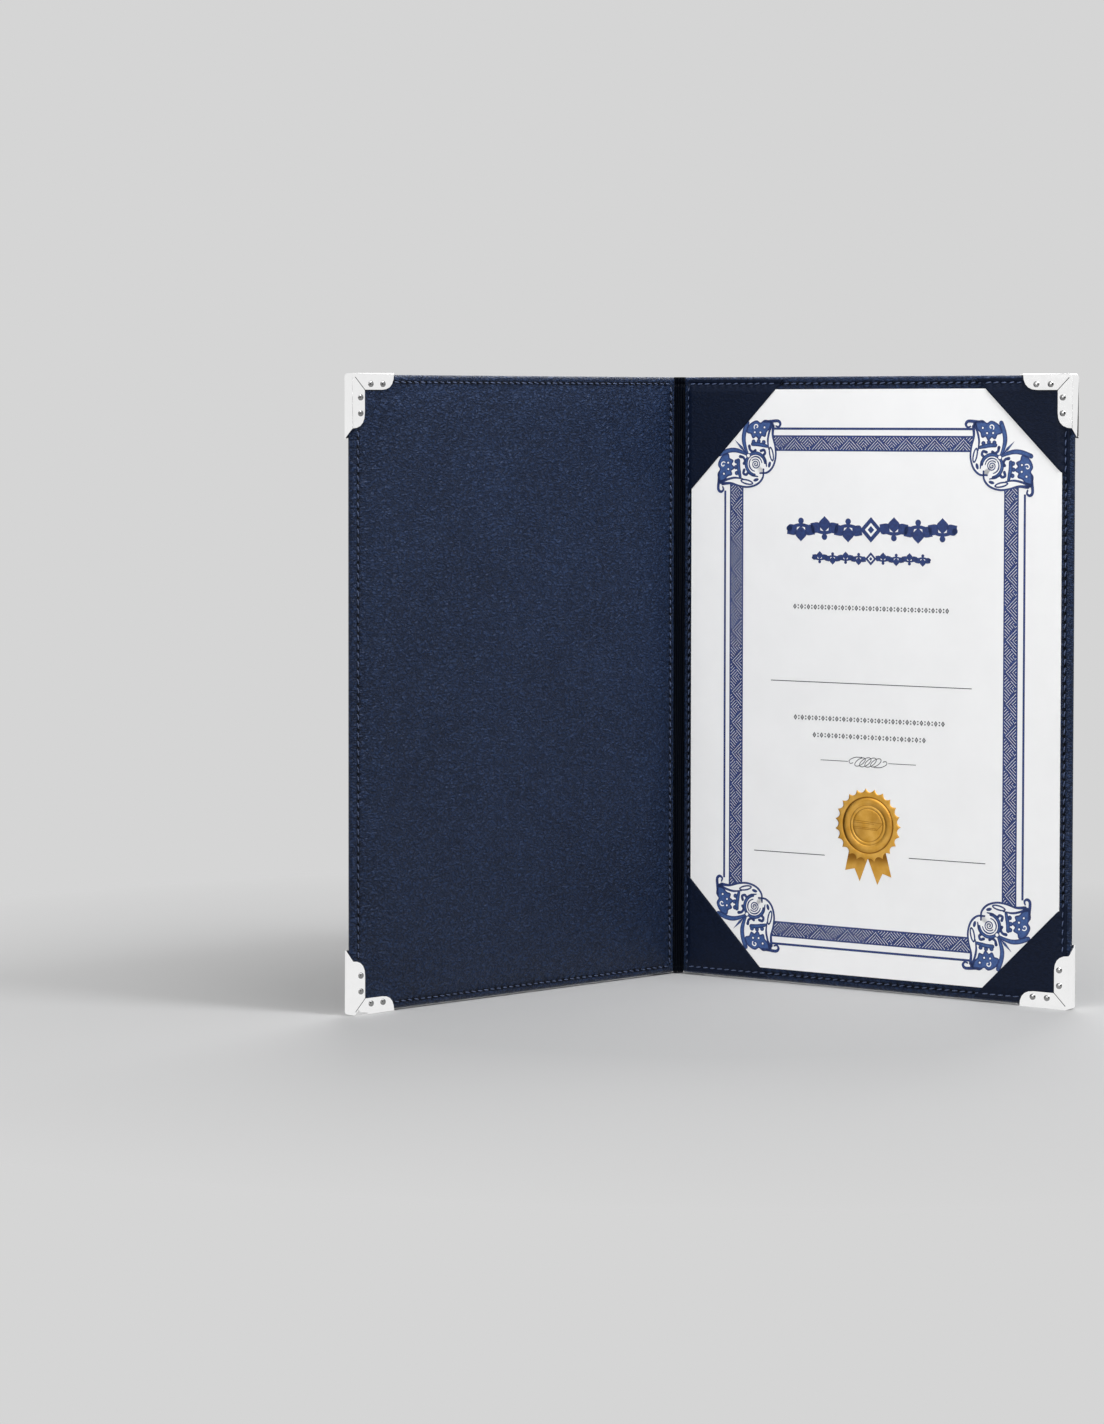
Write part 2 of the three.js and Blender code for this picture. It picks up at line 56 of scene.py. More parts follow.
# Sizes of a cover in millimetres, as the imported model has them. A cover's own frame runs from its
# hinge line to its free edge (along), across its thickness (level, outside face at plus) and up.
cover = {
    "height": 310.0,
    "reach": 218.5,
    "edgeRadius": 2.35,
    "hingeHalf": 5.2,
    "hingeY": 66.4928,
    "foot": 0.65,
    "angle": math.radians(38.2),
    "stitchInset": 3.6,
}
paper = {"height": 297.0, "toHinge": 3.1, "toEnd": 6.5, "face": -2.95}


# Placing, meshes and objects

def placed(points, side):
    along, level, up = np.asarray(points, float).T
    cosine, sine = math.cos(cover["angle"]), math.sin(cover["angle"])
    x = side * (cover["hingeHalf"] + along * cosine + level * sine)
    y = cover["hingeY"] - along * sine + level * cosine
    return np.column_stack([x, y, up + cover["foot"]]) * mm


def pagePlaced(points):
    # page millimetres run right and down from the sheet's upper left corner, and then off the paper
    right, down, lift = np.asarray(points, float).T
    up = paper["toEnd"] + paper["height"] - down
    return placed(np.column_stack([paper["toHinge"] + right, paper["face"] - lift, up]), 1)


def meshPiece(name, points, faces, material, body, smoothAngle=None, closed=True):
    mesh = bpy.data.meshes.new(name)
    mesh.from_pydata(np.asarray(points, float).tolist(), [], faces)
    obj = bpy.data.objects.new(name, mesh)
    scene.collection.objects.link(obj)
    mesh.materials.append(material)
    if closed:
        shape = bmesh.new()
        shape.from_mesh(mesh)
        bmesh.ops.recalc_face_normals(shape, faces=shape.faces)
        shape.to_mesh(mesh)
        shape.free()
    finishPiece(obj, body, smoothAngle)
    return obj


def finishPiece(obj, body, smoothAngle=None):
    pick(obj)
    if smoothAngle is None:
        bpy.ops.object.shade_smooth()
    else:
        bpy.ops.object.shade_smooth_by_angle(angle=math.radians(smoothAngle))
    if body:
        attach(obj, body)


def pick(*objs):
    bpy.ops.object.select_all(action="DESELECT")
    for obj in objs:
        obj.select_set(True)
    bpy.context.view_layer.objects.active = objs[0]


def gridFaces(rows, columns, wrap=False):
    faces = []
    for row in range(rows - 1):
        for column in range(columns if wrap else columns - 1):
            a = row * columns + column
            b = row * columns + (column + 1) % columns
            faces.append((a, b, b + columns, a + columns))
    return faces


def tubeFaces(rings, around):
    # rings with the spaces between them and both ends closed
    last = (rings - 1) * around
    ends = [tuple(range(around)), tuple(range(last, last + around))]
    return gridFaces(rings, around, wrap=True) + ends


def slabFaces(rows, columns):
    # a sheet's front, its back with the same count of points after it, and the rim between them
    total = rows * columns
    front = gridFaces(rows, columns)
    faces = front + [tuple(index + total for index in reversed(face)) for face in front]
    rim = list(range(columns)) + [row * columns + columns - 1 for row in range(1, rows)]
    rim += [(rows - 1) * columns + column for column in range(columns - 2, -1, -1)]
    rim += [row * columns for row in range(rows - 2, 0, -1)]
    for index, point in enumerate(rim):
        after = rim[(index + 1) % len(rim)]
        faces.append((point, after, after + total, point + total))
    return faces


def modelParts(model):
    # the points and faces of a model that is repeated, which then goes
    points = np.array([vertex.co[:] for vertex in model.data.vertices])
    faces = [tuple(polygon.vertices) for polygon in model.data.polygons]
    bpy.data.objects.remove(model)
    return points, faces


# Shader maths

class Wire:  # a socket that can be used in sums
    def __init__(self, tree, socket):
        self.tree, self.socket = tree, socket

    def __add__(self, other):
        return self.tree.math("ADD", self, other)

    def __sub__(self, other):
        return self.tree.math("SUBTRACT", self, other)

    def __rsub__(self, other):
        return self.tree.math("SUBTRACT", other, self)

    def __mul__(self, other):
        return self.tree.math("MULTIPLY", self, other)

    __radd__ = __add__
    __rmul__ = __mul__

    def between(self, low, high, outLow=0.0, outHigh=1.0):
        return self.tree.add("ShaderNodeMapRange", {}, {
            "Value": self, "From Min": low, "From Max": high, "To Min": outLow, "To Max": outHigh})


class Tree:
    def __init__(self, owner):
        owner.use_nodes = True
        self.owner, self.nodes, self.links = owner, owner.node_tree.nodes, owner.node_tree.links

    def add(self, kind, settings=None, sockets=None, output=0):
        node = self.nodes.new(kind)
        for key, value in (settings or {}).items():
            setattr(node, key, value)
        for key, value in (sockets or {}).items():
            self.feed(node.inputs[key], value)
        return Wire(self, node.outputs[output])

    def feed(self, socket, value):
        if isinstance(value, Wire):
            self.links.new(value.socket, socket)
        else:
            socket.default_value = value

    def math(self, operation, *values):
        return self.add("ShaderNodeMath", {"operation": operation}, dict(enumerate(values)))

    def mix(self, share, first, second):
        return self.add("ShaderNodeMix", {"data_type": "RGBA"}, {0: share, 6: first, 7: second}, output=2)

    def place(self):
        return self.add("ShaderNodeTexCoord", output=3)

    def noise(self, place, size, detail=2.0, roughness=0.5):
        return self.add("ShaderNodeTexNoise", {}, {
            "Vector": place, "Scale": 1 / size, "Detail": detail, "Roughness": roughness})

    def cells(self, place, size):
        return self.add("ShaderNodeTexVoronoi", {}, {"Vector": place, "Scale": 1 / size})

    def bump(self, height, distance):
        return self.add("ShaderNodeBump", {}, {"Height": height, "Distance": distance})

    def shade(self):
        # the piece's own attribute, set by setShade, with the painted shade and painted sheen that darken its
        # colour
        return self.add("ShaderNodeAttribute", {"attribute_name": "shade"}, output=2)

    def finish(self, **values):
        for key, value in values.items():
            self.feed(self.nodes["Principled BSDF"].inputs[key.replace("_", " ")], value)
        return self.owner


def colour(red, green, blue):
    # from screen values of 0 to 255
    def linear(value):
        value /= 255
        return value / 12.92 if value <= 0.04045 else ((value + 0.055) / 1.055) ** 2.4
    return (linear(red), linear(green), linear(blue), 1.0)


# Finishes

leatherLook = {
    "colour": (8, 18, 37),
    # the paler colour that the grain's raised tops are painted towards: worn tone and painted highlight
    "worn": (43, 60, 93),
    "pebble": 0.0017,
    "wrinkle": 0.0028,
    "depth": 0.0011,
    "roughness": 0.4,
    "sheen": 0.13,
}
pocketLook = {
    "cover": 0.55, "rise": 0.62, "thickness": 0.45, "seamEnd": 4.2, "paperStart": 8.0,
    "leather": {"colour": (7, 15, 31), "worn": (16, 26, 47), "depth": 0.0001, "sheen": 0.08},
}


def setShade(obj, values):
    obj.data.attributes.new("shade", "FLOAT", "POINT").data.foreach_set("value", np.asarray(values, float))


def leatherMaterial(name, look):
    tree = Tree(bpy.data.materials.new(name))
    place = tree.place()
    warp = tree.add("ShaderNodeTexNoise", {}, {"Vector": place, "Scale": 300.0, "Detail": 2.0}, output=1)
    bent = tree.add("ShaderNodeMix", {"data_type": "VECTOR"}, {0: 0.0016, 4: place, 5: warp}, output=1)
    drawn = tree.add("ShaderNodeMapping", {}, {
        "Vector": bent, "Rotation": (0.0, 0.7, 0.0), "Scale": (1.0, 1.0, 1.7)})
    pebbles = tree.cells(drawn, look["pebble"]).between(0.1, 0.75, 1.0, 0.0)
    ridges = tree.noise(drawn, look["wrinkle"], 3.0, 0.55) - 0.5
    wrinkles = tree.math("ABSOLUTE", ridges).between(0.0, 0.09)
    height = pebbles * 0.45 + wrinkles * 0.5 + tree.noise(place, 0.0004, 2.0) * 0.2
    cloud = tree.noise(place, 0.05, 3.0, 0.6).between(0.3, 0.7)
    # the grain's raised tops are painted paler, a painted highlight on the grain, mixed with a random cloud
    # of real tone
    worn = cloud * 0.15 + height.between(0.3, 0.9) * 0.55 + 0.12
    base = tree.mix(worn, colour(*look["colour"]), colour(*look["worn"]))
    rubbed = tree.noise(place, 0.012, 2.0)
    return tree.finish(
        Base_Color=tree.mix(tree.shade(), base, colour(2, 5, 13)),  # painted shade down in the stitch grooves
        Roughness=rubbed.between(0.3, 0.7, look["roughness"] - 0.02, look["roughness"] + 0.03),
        Normal=tree.bump(height, look["depth"]),
        Specular_IOR_Level=look["sheen"],
    )


def threadMaterial():
    tree = Tree(bpy.data.materials.new("thread"))
    place = tree.place()
    twist = tree.noise(place, 0.00035, 1.0)
    base = tree.mix(twist.between(0.35, 0.65), colour(44, 57, 88), colour(88, 103, 138))
    return tree.finish(Base_Color=base, Roughness=0.5, Normal=tree.bump(twist, 0.00008))


def metalMaterial(name, dull, bright, roughness):
    tree = Tree(bpy.data.materials.new(name))
    place = tree.place()
    smears = tree.noise(place, 0.006, 3.0, 0.6).between(0.3, 0.7)
    scratches = tree.noise(place, 0.0012, 4.0, 0.7)
    return tree.finish(
        Base_Color=tree.mix(smears, (dull, dull, dull, 1), (bright, bright, bright, 1)), Metallic=1.0,
        Roughness=smears.between(0, 1, roughness, roughness + 0.06), Normal=tree.bump(scratches, 0.000003))


def goldMaterial():
    # the foil is painted darker where its own attribute says so: painted shade in its grooves, along the
    # bar's lines and on the ribbons near the rosette, and a painted sheen across its rings
    tree = Tree(bpy.data.materials.new("goldFoil"))
    sheen = tree.noise(tree.place(), 0.004, 2.0).between(0.3, 0.7)
    bright = tree.mix(sheen, colour(206, 153, 62), colour(219, 170, 84))
    return tree.finish(
        Base_Color=tree.mix(tree.shade(), bright, colour(112, 66, 16)), Metallic=1.0,
        Roughness=sheen.between(0, 1, 0.3, 0.36))


def paperMaterial():
    tree = Tree(bpy.data.materials.new("certificatePaper"))
    place = tree.place()
    fibres = tree.noise(place, 0.0007, 4.0, 0.7)
    mottle = tree.noise(place, 0.02, 3.0)
    base = tree.mix(mottle.between(0.3, 0.7), colour(243, 243, 243), colour(246, 246, 246))
    return tree.finish(Base_Color=base, Roughness=0.62, Normal=tree.bump(fibres, 0.00001))


def inkMaterial(name, first, second):
    tree = Tree(bpy.data.materials.new(name))
    cloud = tree.noise(tree.place(), 0.0012, 3.0, 0.6)
    return tree.finish(
        Base_Color=tree.mix(cloud.between(0.35, 0.65), colour(*first), colour(*second)), Roughness=0.55)


def plainMaterial(name, first, second, size, depth):
    tree = Tree(bpy.data.materials.new(name))
    grain = tree.noise(tree.place(), size, 3.0, 0.6)
    return tree.finish(
        Base_Color=tree.mix(grain, colour(*first), colour(*second)), Roughness=0.9,
        Normal=tree.bump(grain, depth))


leather = leatherMaterial("leather", leatherLook)
liningLeather = leatherMaterial("liningLeather", leatherLook)
thread = threadMaterial()
pocketLeather = leatherMaterial("pocketLeather", {**leatherLook, **pocketLook["leather"]})
metal = metalMaterial("polishedMetal", 0.94, 0.97, 0.08)
# the tacks get a much darker copy of the polished metal: a painted dark reflection on their domes
tackMetal = metalMaterial("tackMetal", 0.2, 0.34, 0.18)
gold = goldMaterial()
certificatePaper = paperMaterial()
blueInk = inkMaterial("blueInk", (9, 34, 90), (22, 54, 116))
paleInk = inkMaterial("paleInk", (34, 66, 124), (54, 88, 146))
darkInk = inkMaterial("darkInk", (24, 26, 34), (40, 42, 52))
foam = plainMaterial("foam", (205, 200, 188), (226, 222, 212), 0.0012, 0.0002)
greyboard = plainMaterial("greyboard", (128, 124, 116), (156, 152, 144), 0.0009, 0.00005)
print("finishes made")


# Stitch rows and the leather round them

rows = {"pitch": 4.25, "groove": 0.34, "hole": 0.26, "pucker": 0.11}


def stitchRow(low, high):
    count = max(1, round((high - low) / rows["pitch"]))
    return {"low": low, "high": high, "count": count, "pitch": (high - low) / count}


insideRows = {
    "bottom": stitchRow(1.4, cover["reach"] - 26.6),
    "top": stitchRow(1.4, cover["reach"] - 26.6),
    "free": stitchRow(26.6, cover["height"] - 26.6),
    "hinge": stitchRow(4.4, cover["height"] - 4.4),
}
outsideRows = {
    "bottom": stitchRow(3.2, cover["reach"] - 30.6),
    "top": stitchRow(3.2, cover["reach"] - 30.6),
    "free": stitchRow(31.0, cover["height"] - 31.0),
}


def sewnDip(row, along, inset):
    # how far the leather is drawn in (negative) or pushed out beside a row of stitches
    if row is None:
        return np.zeros_like(along)
    across = inset - cover["stitchInset"]
    on = np.clip((along - row["low"]) / 2 + 0.5, 0, 1) * np.clip((row["high"] - along) / 2 + 0.5, 0, 1)
    wave = np.cos(2 * np.pi * (along - row["low"]) / row["pitch"])
    groove = -rows["groove"] * np.exp(-(across / 0.7) ** 2)
    hole = -rows["hole"] * np.exp(-(across / 0.5) ** 2) * ((1 + wave) / 2) ** 3
    pucker = -rows["pucker"] * wave * np.exp(-((across - 1.1) / 1.0) ** 2)
    return on * (groove + hole + pucker)


def coverRing(inset, freeRadius, hingeRadius):
    # points of a cover's outline drawn in by an inset, with the side that each is on
    left, right = inset - cover["edgeRadius"], cover["reach"] - inset
    low, high = inset, cover["height"] - inset
    corners = [
        (left + hingeRadius, low + hingeRadius, hingeRadius, 180, 4, "bottom", 250),
        (right - freeRadius, low + freeRadius, freeRadius, 270, 8, "free", 350),
        (right - freeRadius, high - freeRadius, freeRadius, 0, 8, "top", 250),
        (left + hingeRadius, high - hingeRadius, hingeRadius, 90, 4, "hinge", 350),
    ]
    points, sides = [], []
    for index, (x, z, radius, start, steps, side, count) in enumerate(corners):
        angles = np.radians(start + 90 * np.arange(steps + 1) / steps)
        points.append(np.column_stack([x + radius * np.cos(angles), z + radius * np.sin(angles)]))
        sides += [None] * (steps + 1)
        nextX, nextZ, nextRadius, nextStart = corners[(index + 1) % 4][:4]
        first = points[-1][-1]
        last = np.array([nextX + nextRadius * math.cos(math.radians(nextStart)),
                         nextZ + nextRadius * math.sin(math.radians(nextStart))])
        share = (np.arange(1, count) / count)[:, None]
        points.append(first + (last - first) * share)
        sides += [side] * (count - 1)
    return np.vstack(points), np.array(sides, dtype=object)


# how high each side's padding swells, and where and over what distance it starts
padding = {"outside": 2.3, "front": 2.3, "back": 0.15, "inset": 4.4, "run": 8.0}


def crownHeight(x, z, crown):
    # the padding swells behind the stitches and stays flat under the metal corners
    inset, run, freeRadius, hingeRadius = padding["inset"], padding["run"], 44.0, 5.0
    left, right = inset - cover["edgeRadius"], cover["reach"] - inset
    halfX, halfZ = (right - left) / 2, cover["height"] / 2 - inset
    offX, offZ = x - (left + right) / 2, z - cover["height"] / 2
    radius = np.where(offX > 0, freeRadius, hingeRadius)
    qx, qz = np.abs(offX) - halfX + radius, np.abs(offZ) - halfZ + radius
    outside = np.hypot(np.maximum(qx, 0), np.maximum(qz, 0)) + np.minimum(np.maximum(qx, qz), 0) - radius
    inward = np.maximum(-outside, 0)
    rise = 1 - np.exp(-(np.sqrt(inward ** 2 + 1) - 1) / run)
    waves = (np.sin(x / 17 + z / 41) + np.sin(z / 23 - x / 37 + 2) + np.sin((x + z) / 31 + 4)) / 3
    return crown * rise * (1 + 0.05 * waves)


facePlaces = [108, 92, 76, 62, 50, 41, 34, 28, 23, 19, 16, 13.4, 11.4, 9.8, 8.5, 7.4, 6.5, 5.8, 5.25,
              4.85, 4.5, 4.2, 3.9, 3.6, 3.3, 3.0, 2.7]


def paddedShell(name, side, face, crown, stitches, rollEnd, backRings, material, body):
    # face is 1 for the outside of a cover and -1 for its inside
    rings, shades = [], []
    for inset in facePlaces:
        freeRadius = max(1.5 - inset, 0.25) if inset < 6 else 0.25 + 0.3 * (inset - 6)
        outline, sides = coverRing(inset, min(freeRadius, 1.5), min(freeRadius, 1.0))
        x, z = outline.T
        level = cover["edgeRadius"] + crownHeight(x, z, crown)
        dip = np.zeros(len(x))
        for edge in ("bottom", "free", "top", "hinge"):
            on = sides == edge
            along = x[on] if edge in ("bottom", "top") else z[on]
            dip[on] = sewnDip(stitches.get(edge), along, np.full(on.sum(), inset))
        level += dip
        rings.append(np.column_stack([x, face * level, z]))
        # how much the stitch grooves are painted darker: painted shade
        shades.append(np.clip(-dip / 0.26, 0, 0.95))
    for angle in np.linspace(84, rollEnd, 10):
        turn = math.radians(angle)
        inset = cover["edgeRadius"] * (1 - math.cos(turn))
        outline, sides = coverRing(inset, max(1.5 - inset, 0.25), max(1 - inset, 0.25))
        level = face * cover["edgeRadius"] * math.sin(turn)
        rings.append(np.column_stack([outline[:, 0], np.full(len(outline), level), outline[:, 1]]))
    for inset, level, crownShare in backRings:
        outline, sides = coverRing(inset, 0.3, 0.3)
        x, z = outline.T
        rings.append(np.column_stack([x, face * (level + crownShare * crownHeight(x, z, crown)), z]))
    faces = tubeFaces(len(rings), len(rings[0]))
    shell = meshPiece(name, placed(np.vstack(rings), side), faces, material, body)
    shades.append(np.zeros(len(shell.data.vertices) - sum(map(len, shades))))
    setShade(shell, np.concatenate(shades))
    return shell


# rings on the hidden side of the leather: inset, level and share of the crown
skinBack = [(4.0, -0.95, 0), (13.0, -0.95, 0), (13.0, -0.35, 0), (1.2, -0.35, 0), (0.62, 0.3, 0),
            (1.1, 1.2, 0), (3.0, 1.72, 0)] + [(inset, 1.5, 1) for inset in (8.0, 16, 30, 60, 100)]
liningBack = [(inset, 1.2, 0) for inset in (3.6, 14.0, 60.0)]
covers = [("front", -1), ("back", 1)]
for prefix, side in covers:
    body = f"{prefix}_cover"
    skin = paddedShell(f"{prefix}SkinLeather", side, 1, padding["outside"], outsideRows, -23.8, skinBack,
                       leather, body)
    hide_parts(f"{prefix}_skin")
    lining = paddedShell(f"{prefix}LiningLeather", side, -1, padding[prefix], insideRows, -30.7, liningBack,
                         liningLeather, body)
    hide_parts(f"{prefix}_lining")
print("padded covers made")


# Pockets

pockets = {
    "hinge_top": {"free": False, "top": True, "leg": 60.0},
    "hinge_bottom": {"free": False, "top": False, "leg": 52.0},
    "free_top": {"free": True, "top": True, "leg": 52.0},
    "free_bottom": {"free": True, "top": False, "leg": 52.0},
}


def pocketLevel(fromSide, fromEnd, free):
    # the leather lies on the seam along the edges and rises onto the paper's corner
    low, high = pocketLook["seamEnd"], pocketLook["paperStart"]
    across = np.clip((fromSide - (low if free else 2.2)) / (high - low), 0, 1)
    up = np.clip((fromEnd - low) / (high - low), 0, 1)
    rise = (across * across * (3 - 2 * across)) * (up * up * (3 - 2 * up))
    return cover["edgeRadius"] + pocketLook["cover"] + pocketLook["rise"] * rise


def pocketDip(pocket, fromSide, fromEnd, along, up):
    endRow = insideRows["top" if pocket["top"] else "bottom"]
    dip = sewnDip(endRow, along, fromEnd)
    if pocket["free"]:
        dip += sewnDip(insideRows["free"], up, fromSide)
    return dip


def pocketPiece(name, pocket):
    startSide, startEnd = (1.4, 1.4) if pocket["free"] else (3.4, 1.4)
    leg = pocket["leg"]
    across, deep = 150, 110
    ends = np.linspace(0, 1, across)[:, None]
    diagonal = np.array([leg, startEnd]) * (1 - ends) + np.array([startSide, leg]) * ends
    corner = np.array([startSide, startEnd])
    shares = np.linspace(0, 1, deep)
    u = corner[0] + (diagonal[:, 0][None, :] - corner[0]) * shares[:, None]
    v = corner[1] + (diagonal[:, 1][None, :] - corner[1]) * shares[:, None]
    u, v = u.ravel(), v.ravel()
    along = cover["reach"] - u if pocket["free"] else u - cover["edgeRadius"]
    up = cover["height"] - v if pocket["top"] else v
    fromDiagonal = (leg - startEnd) * (1 - np.repeat(shares, across)) * 0.7
    level = pocketLevel(u, v, pocket["free"]) + pocketDip(pocket, u, v, along, up)
    level += 0.06 * np.sin(u / 9 + v / 13) * np.clip(fromDiagonal / 6, 0, 1)
    level -= 0.2 * np.exp(-(fromDiagonal / 0.25) ** 2)
    top = np.column_stack([along, -level, up])
    bottom = np.column_stack([along, -(level - pocketLook["thickness"]), up])
    points = placed(np.vstack([top, bottom]), 1)
    return meshPiece(name, points, slabFaces(deep, across), pocketLeather, "back_cover")


for name, pocket in pockets.items():
    side, end = name.split("_")
    piece = pocketPiece(f"pocketLeather{side.title()}{end.title()}", pocket)
    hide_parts(f"pocket_{name}")
print("pockets made")


# Stitches, modelled once and copied along the rows

stitchLook = {"length": 3.1, "thick": 0.62, "sunk": 0.12, "lean": 0.16}


def stitchModel():
    bpy.ops.object.select_all(action="DESELECT")
    bpy.ops.mesh.primitive_uv_sphere_add(segments=8, ring_count=8, radius=0.5)
    model = bpy.context.object
    bpy.ops.object.mode_set(mode="EDIT")
    bpy.ops.mesh.select_all(action="SELECT")
    bpy.ops.transform.rotate(value=math.pi / 2, orient_axis="Y", center_override=(0, 0, 0))
    bpy.ops.transform.resize(value=(stitchLook["length"], stitchLook["thick"], stitchLook["thick"]))
    bpy.ops.object.mode_set(mode="OBJECT")
    points, faces = modelParts(model)
    points[:, 2] -= 0.5 * stitchLook["thick"] * (2 * points[:, 0] / stitchLook["length"]) ** 4
    return points, faces


def sewn(name, places, side, face, body):
    # places holds the middle of each stitch, its level and whether it lies along the height
    model, modelFaces = stitchModel()
    points, faces = [], []
    for index, (along, level, up, upright) in enumerate(places):
        chance = math.sin(index * 12.9898 + side * 4.1 + face) * 43758.5453 % 1
        lean = stitchLook["lean"] + 0.16 * (chance - 0.5)
        length = 1 + 0.14 * (chance * 7 % 1 - 0.5)
        run = model[:, 0] * length * math.cos(lean) - model[:, 1] * math.sin(lean)
        rise = model[:, 0] * length * math.sin(lean) + model[:, 1] * math.cos(lean)
        out = model[:, 2]
        if upright:
            local = [along + rise, face * (level + out), up + run]
        else:
            local = [along + run, face * (level + out), up + rise]
        faces += [tuple(point + len(points) * len(model) for point in one) for one in modelFaces]
        points.append(np.column_stack(local))
    row = meshPiece(name, placed(np.vstack(points), side), faces, thread, body)


def rowPlaces(stitches, levelAt):
    inset, places = cover["stitchInset"], []
    for name, row in stitches.items():
        for index in range(row["count"]):
            middle = row["low"] + (index + 0.5) * row["pitch"]
            if name in ("bottom", "top"):
                along, up = middle, inset if name == "bottom" else cover["height"] - inset
            else:
                along, up = cover["reach"] - inset if name == "free" else inset - cover["edgeRadius"], middle
            places.append((along, levelAt(along, up) - stitchLook["sunk"], up, name in ("free", "hinge")))
    return places


def plainLevel(along, up):
    return cover["edgeRadius"]


def sewnPocketLevel(along, up):
    for pocket in pockets.values():
        fromSide = cover["reach"] - along if pocket["free"] else along + cover["edgeRadius"]
        fromEnd = cover["height"] - up if pocket["top"] else up
        start = 1.4 if pocket["free"] else 3.4
        if fromSide + fromEnd < pocket["leg"] and fromSide > start:
            return float(pocketLevel(np.array(fromSide), np.array(fromEnd), pocket["free"]))
    return cover["edgeRadius"]


for prefix, side in covers:
    body = f"{prefix}_cover"
    sewn(f"{prefix}OutsideStitches", rowPlaces(outsideRows, plainLevel), side, 1, body)
    levelAt = sewnPocketLevel if prefix == "back" else plainLevel
    sewn(f"{prefix}InsideStitches", rowPlaces(insideRows, levelAt), side, -1, body)
print("stitches made")


# Spine: a pleated strip inside, and one sheet of leather outside that bends over both hinges

spineLook = {
    # the strip's leather is a near black copy of the cover's leather: painted shade deep in the spine
    "leather": {"colour": (1, 3, 9), "worn": (4, 8, 17), "depth": 0.0001, "sheen": 0.06},
    "rise": 2.75, "thickness": 0.6, "stripHalf": 2.65, "pleat": 0.8, "overlap": 8.0,
    "socket": cover["edgeRadius"] + 0.3,
}
spineLeather = leatherMaterial("spineLeather", {**leatherLook, **spineLook["leather"]})


def spineHeights(endCount, middleCount):
    # places up the spine, closer together near its two ends
    end = 8.0
    ends = end * (1 - np.cos(np.linspace(0, np.pi / 2, endCount)))
    middle = np.linspace(end, cover["height"] - end, middleCount)
    return np.concatenate([ends[:-1], middle, cover["height"] - ends[::-1][1:]])


def spinePlaced(points):
    return (np.asarray(points) + [0, cover["hingeY"], cover["foot"]]) * mm


def spineStrip():
    columns = 61
    x = np.linspace(-spineLook["stripHalf"], spineLook["stripHalf"], columns)
    z = spineHeights(50, 162)
    gridX, gridZ = np.meshgrid(x, z)
    fromEnd = np.minimum(gridZ, cover["height"] - gridZ)
    wander = 0.12 * np.sin(gridZ / 13) + 0.08 * np.sin(gridZ / 5.7 + 1)
    near = np.exp(-(fromEnd / 9) ** 2)
    ridge = 0.5 - 0.5 * np.cos(2 * np.pi * (gridX + wander * (1 - near)) / (2.0 - 0.5 * near))
    height = spineLook["pleat"] * ridge * (0.85 + 0.15 * np.sin(gridZ / 21 + gridX))
    height -= 0.45 * np.exp(-((fromEnd - cover["stitchInset"]) / 0.8) ** 2)
    height -= 0.6 * np.clip(1 - fromEnd / 1.2, 0, 1) ** 2
    front = np.column_stack([gridX.ravel(), (-0.05 - height).ravel(), gridZ.ravel()])
    back = front.copy()
    back[:, 1] = 0.22
    points = spinePlaced(np.vstack([front, back]))
    return meshPiece("spineStripLeather", points, slabFaces(len(z), columns), spineLeather, "spine")


def spineProfile(lift):
    # from the middle of the spine over one hinge line onto the outside of a cover, at rest
    half, socket, points = cover["hingeHalf"], spineLook["socket"], []
    cosine, sine = math.cos(cover["angle"]), math.sin(cover["angle"])
    for x in np.linspace(0, half - 0.9, 16):
        share = 1 - x / half
        points.append((x, socket + spineLook["rise"] * math.sin(share * math.pi / 2) + lift))
    radius = socket + lift
    for turn in np.linspace(-0.12, cover["angle"], 8):
        points.append((half + radius * math.sin(turn), radius * math.cos(turn)))
    for along in np.linspace(0.8, spineLook["overlap"], 10):
        share = along / spineLook["overlap"]
        swell = crownHeight(np.array(along), np.array(cover["height"] / 2), padding["outside"])
        level = socket + swell + lift * (1 - share) - 0.35 * share ** 2
        points.append((half + along * cosine + level * sine, level * cosine - along * sine))
    return np.array(points, float)


def spineSheet(name, side):
    outer, inner = spineProfile(spineLook["thickness"]), spineProfile(0.0)
    ring = np.vstack([outer, inner[::-1]])
    half = (outer + inner) / 2
    middle = np.vstack([half, half[::-1]])
    levels = []
    for height in spineHeights(40, 60):
        fromEnd = min(height, cover["height"] - height)
        drawn = ring.copy()
        dip = 0.3 * math.exp(-((fromEnd - cover["stitchInset"]) / 0.8) ** 2)
        edge = max(0.0, 1 - fromEnd / 0.9) ** 2
        drawn[:len(outer)] += (inner - outer) / spineLook["thickness"] * dip
        drawn += (middle - drawn) * 0.8 * edge
        levels.append(np.column_stack([side * drawn[:, 0], drawn[:, 1], np.full(len(ring), height)]))
    sheet = meshPiece(name, spinePlaced(np.vstack(levels)), tubeFaces(len(levels), len(ring)), leather, None)
    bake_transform(sheet)


def spineCap(name, low, high):
    # closes the spine between its sheet and the sockets of the two covers
    socket, half = spineLook["socket"], [tuple(point) for point in spineProfile(0.2)[:16]]
    for turn in np.linspace(math.radians(102), math.radians(170), 8):
        half.append((cover["hingeHalf"] + socket * math.cos(turn), socket * math.sin(turn)))
    outline = np.array(half + [(-x, y) for x, y in reversed(half)][:-1])
    rings = [np.column_stack([outline, np.full(len(outline), height)]) for height in (low, high)]
    points = spinePlaced(np.vstack(rings))
    return meshPiece(name, points, tubeFaces(2, len(outline)), leather, "spine", smoothAngle=40)


strip = spineStrip()
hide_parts("spine_strip")
spineSheet("spineLeatherFront", -1)
spineSheet("spineLeatherBack", 1)
capLow = spineCap("spineCapLow", 0.35, 0.65)
capHigh = spineCap("spineCapHigh", 309.35, 309.65)
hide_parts("spine_skin")
print("spine made")


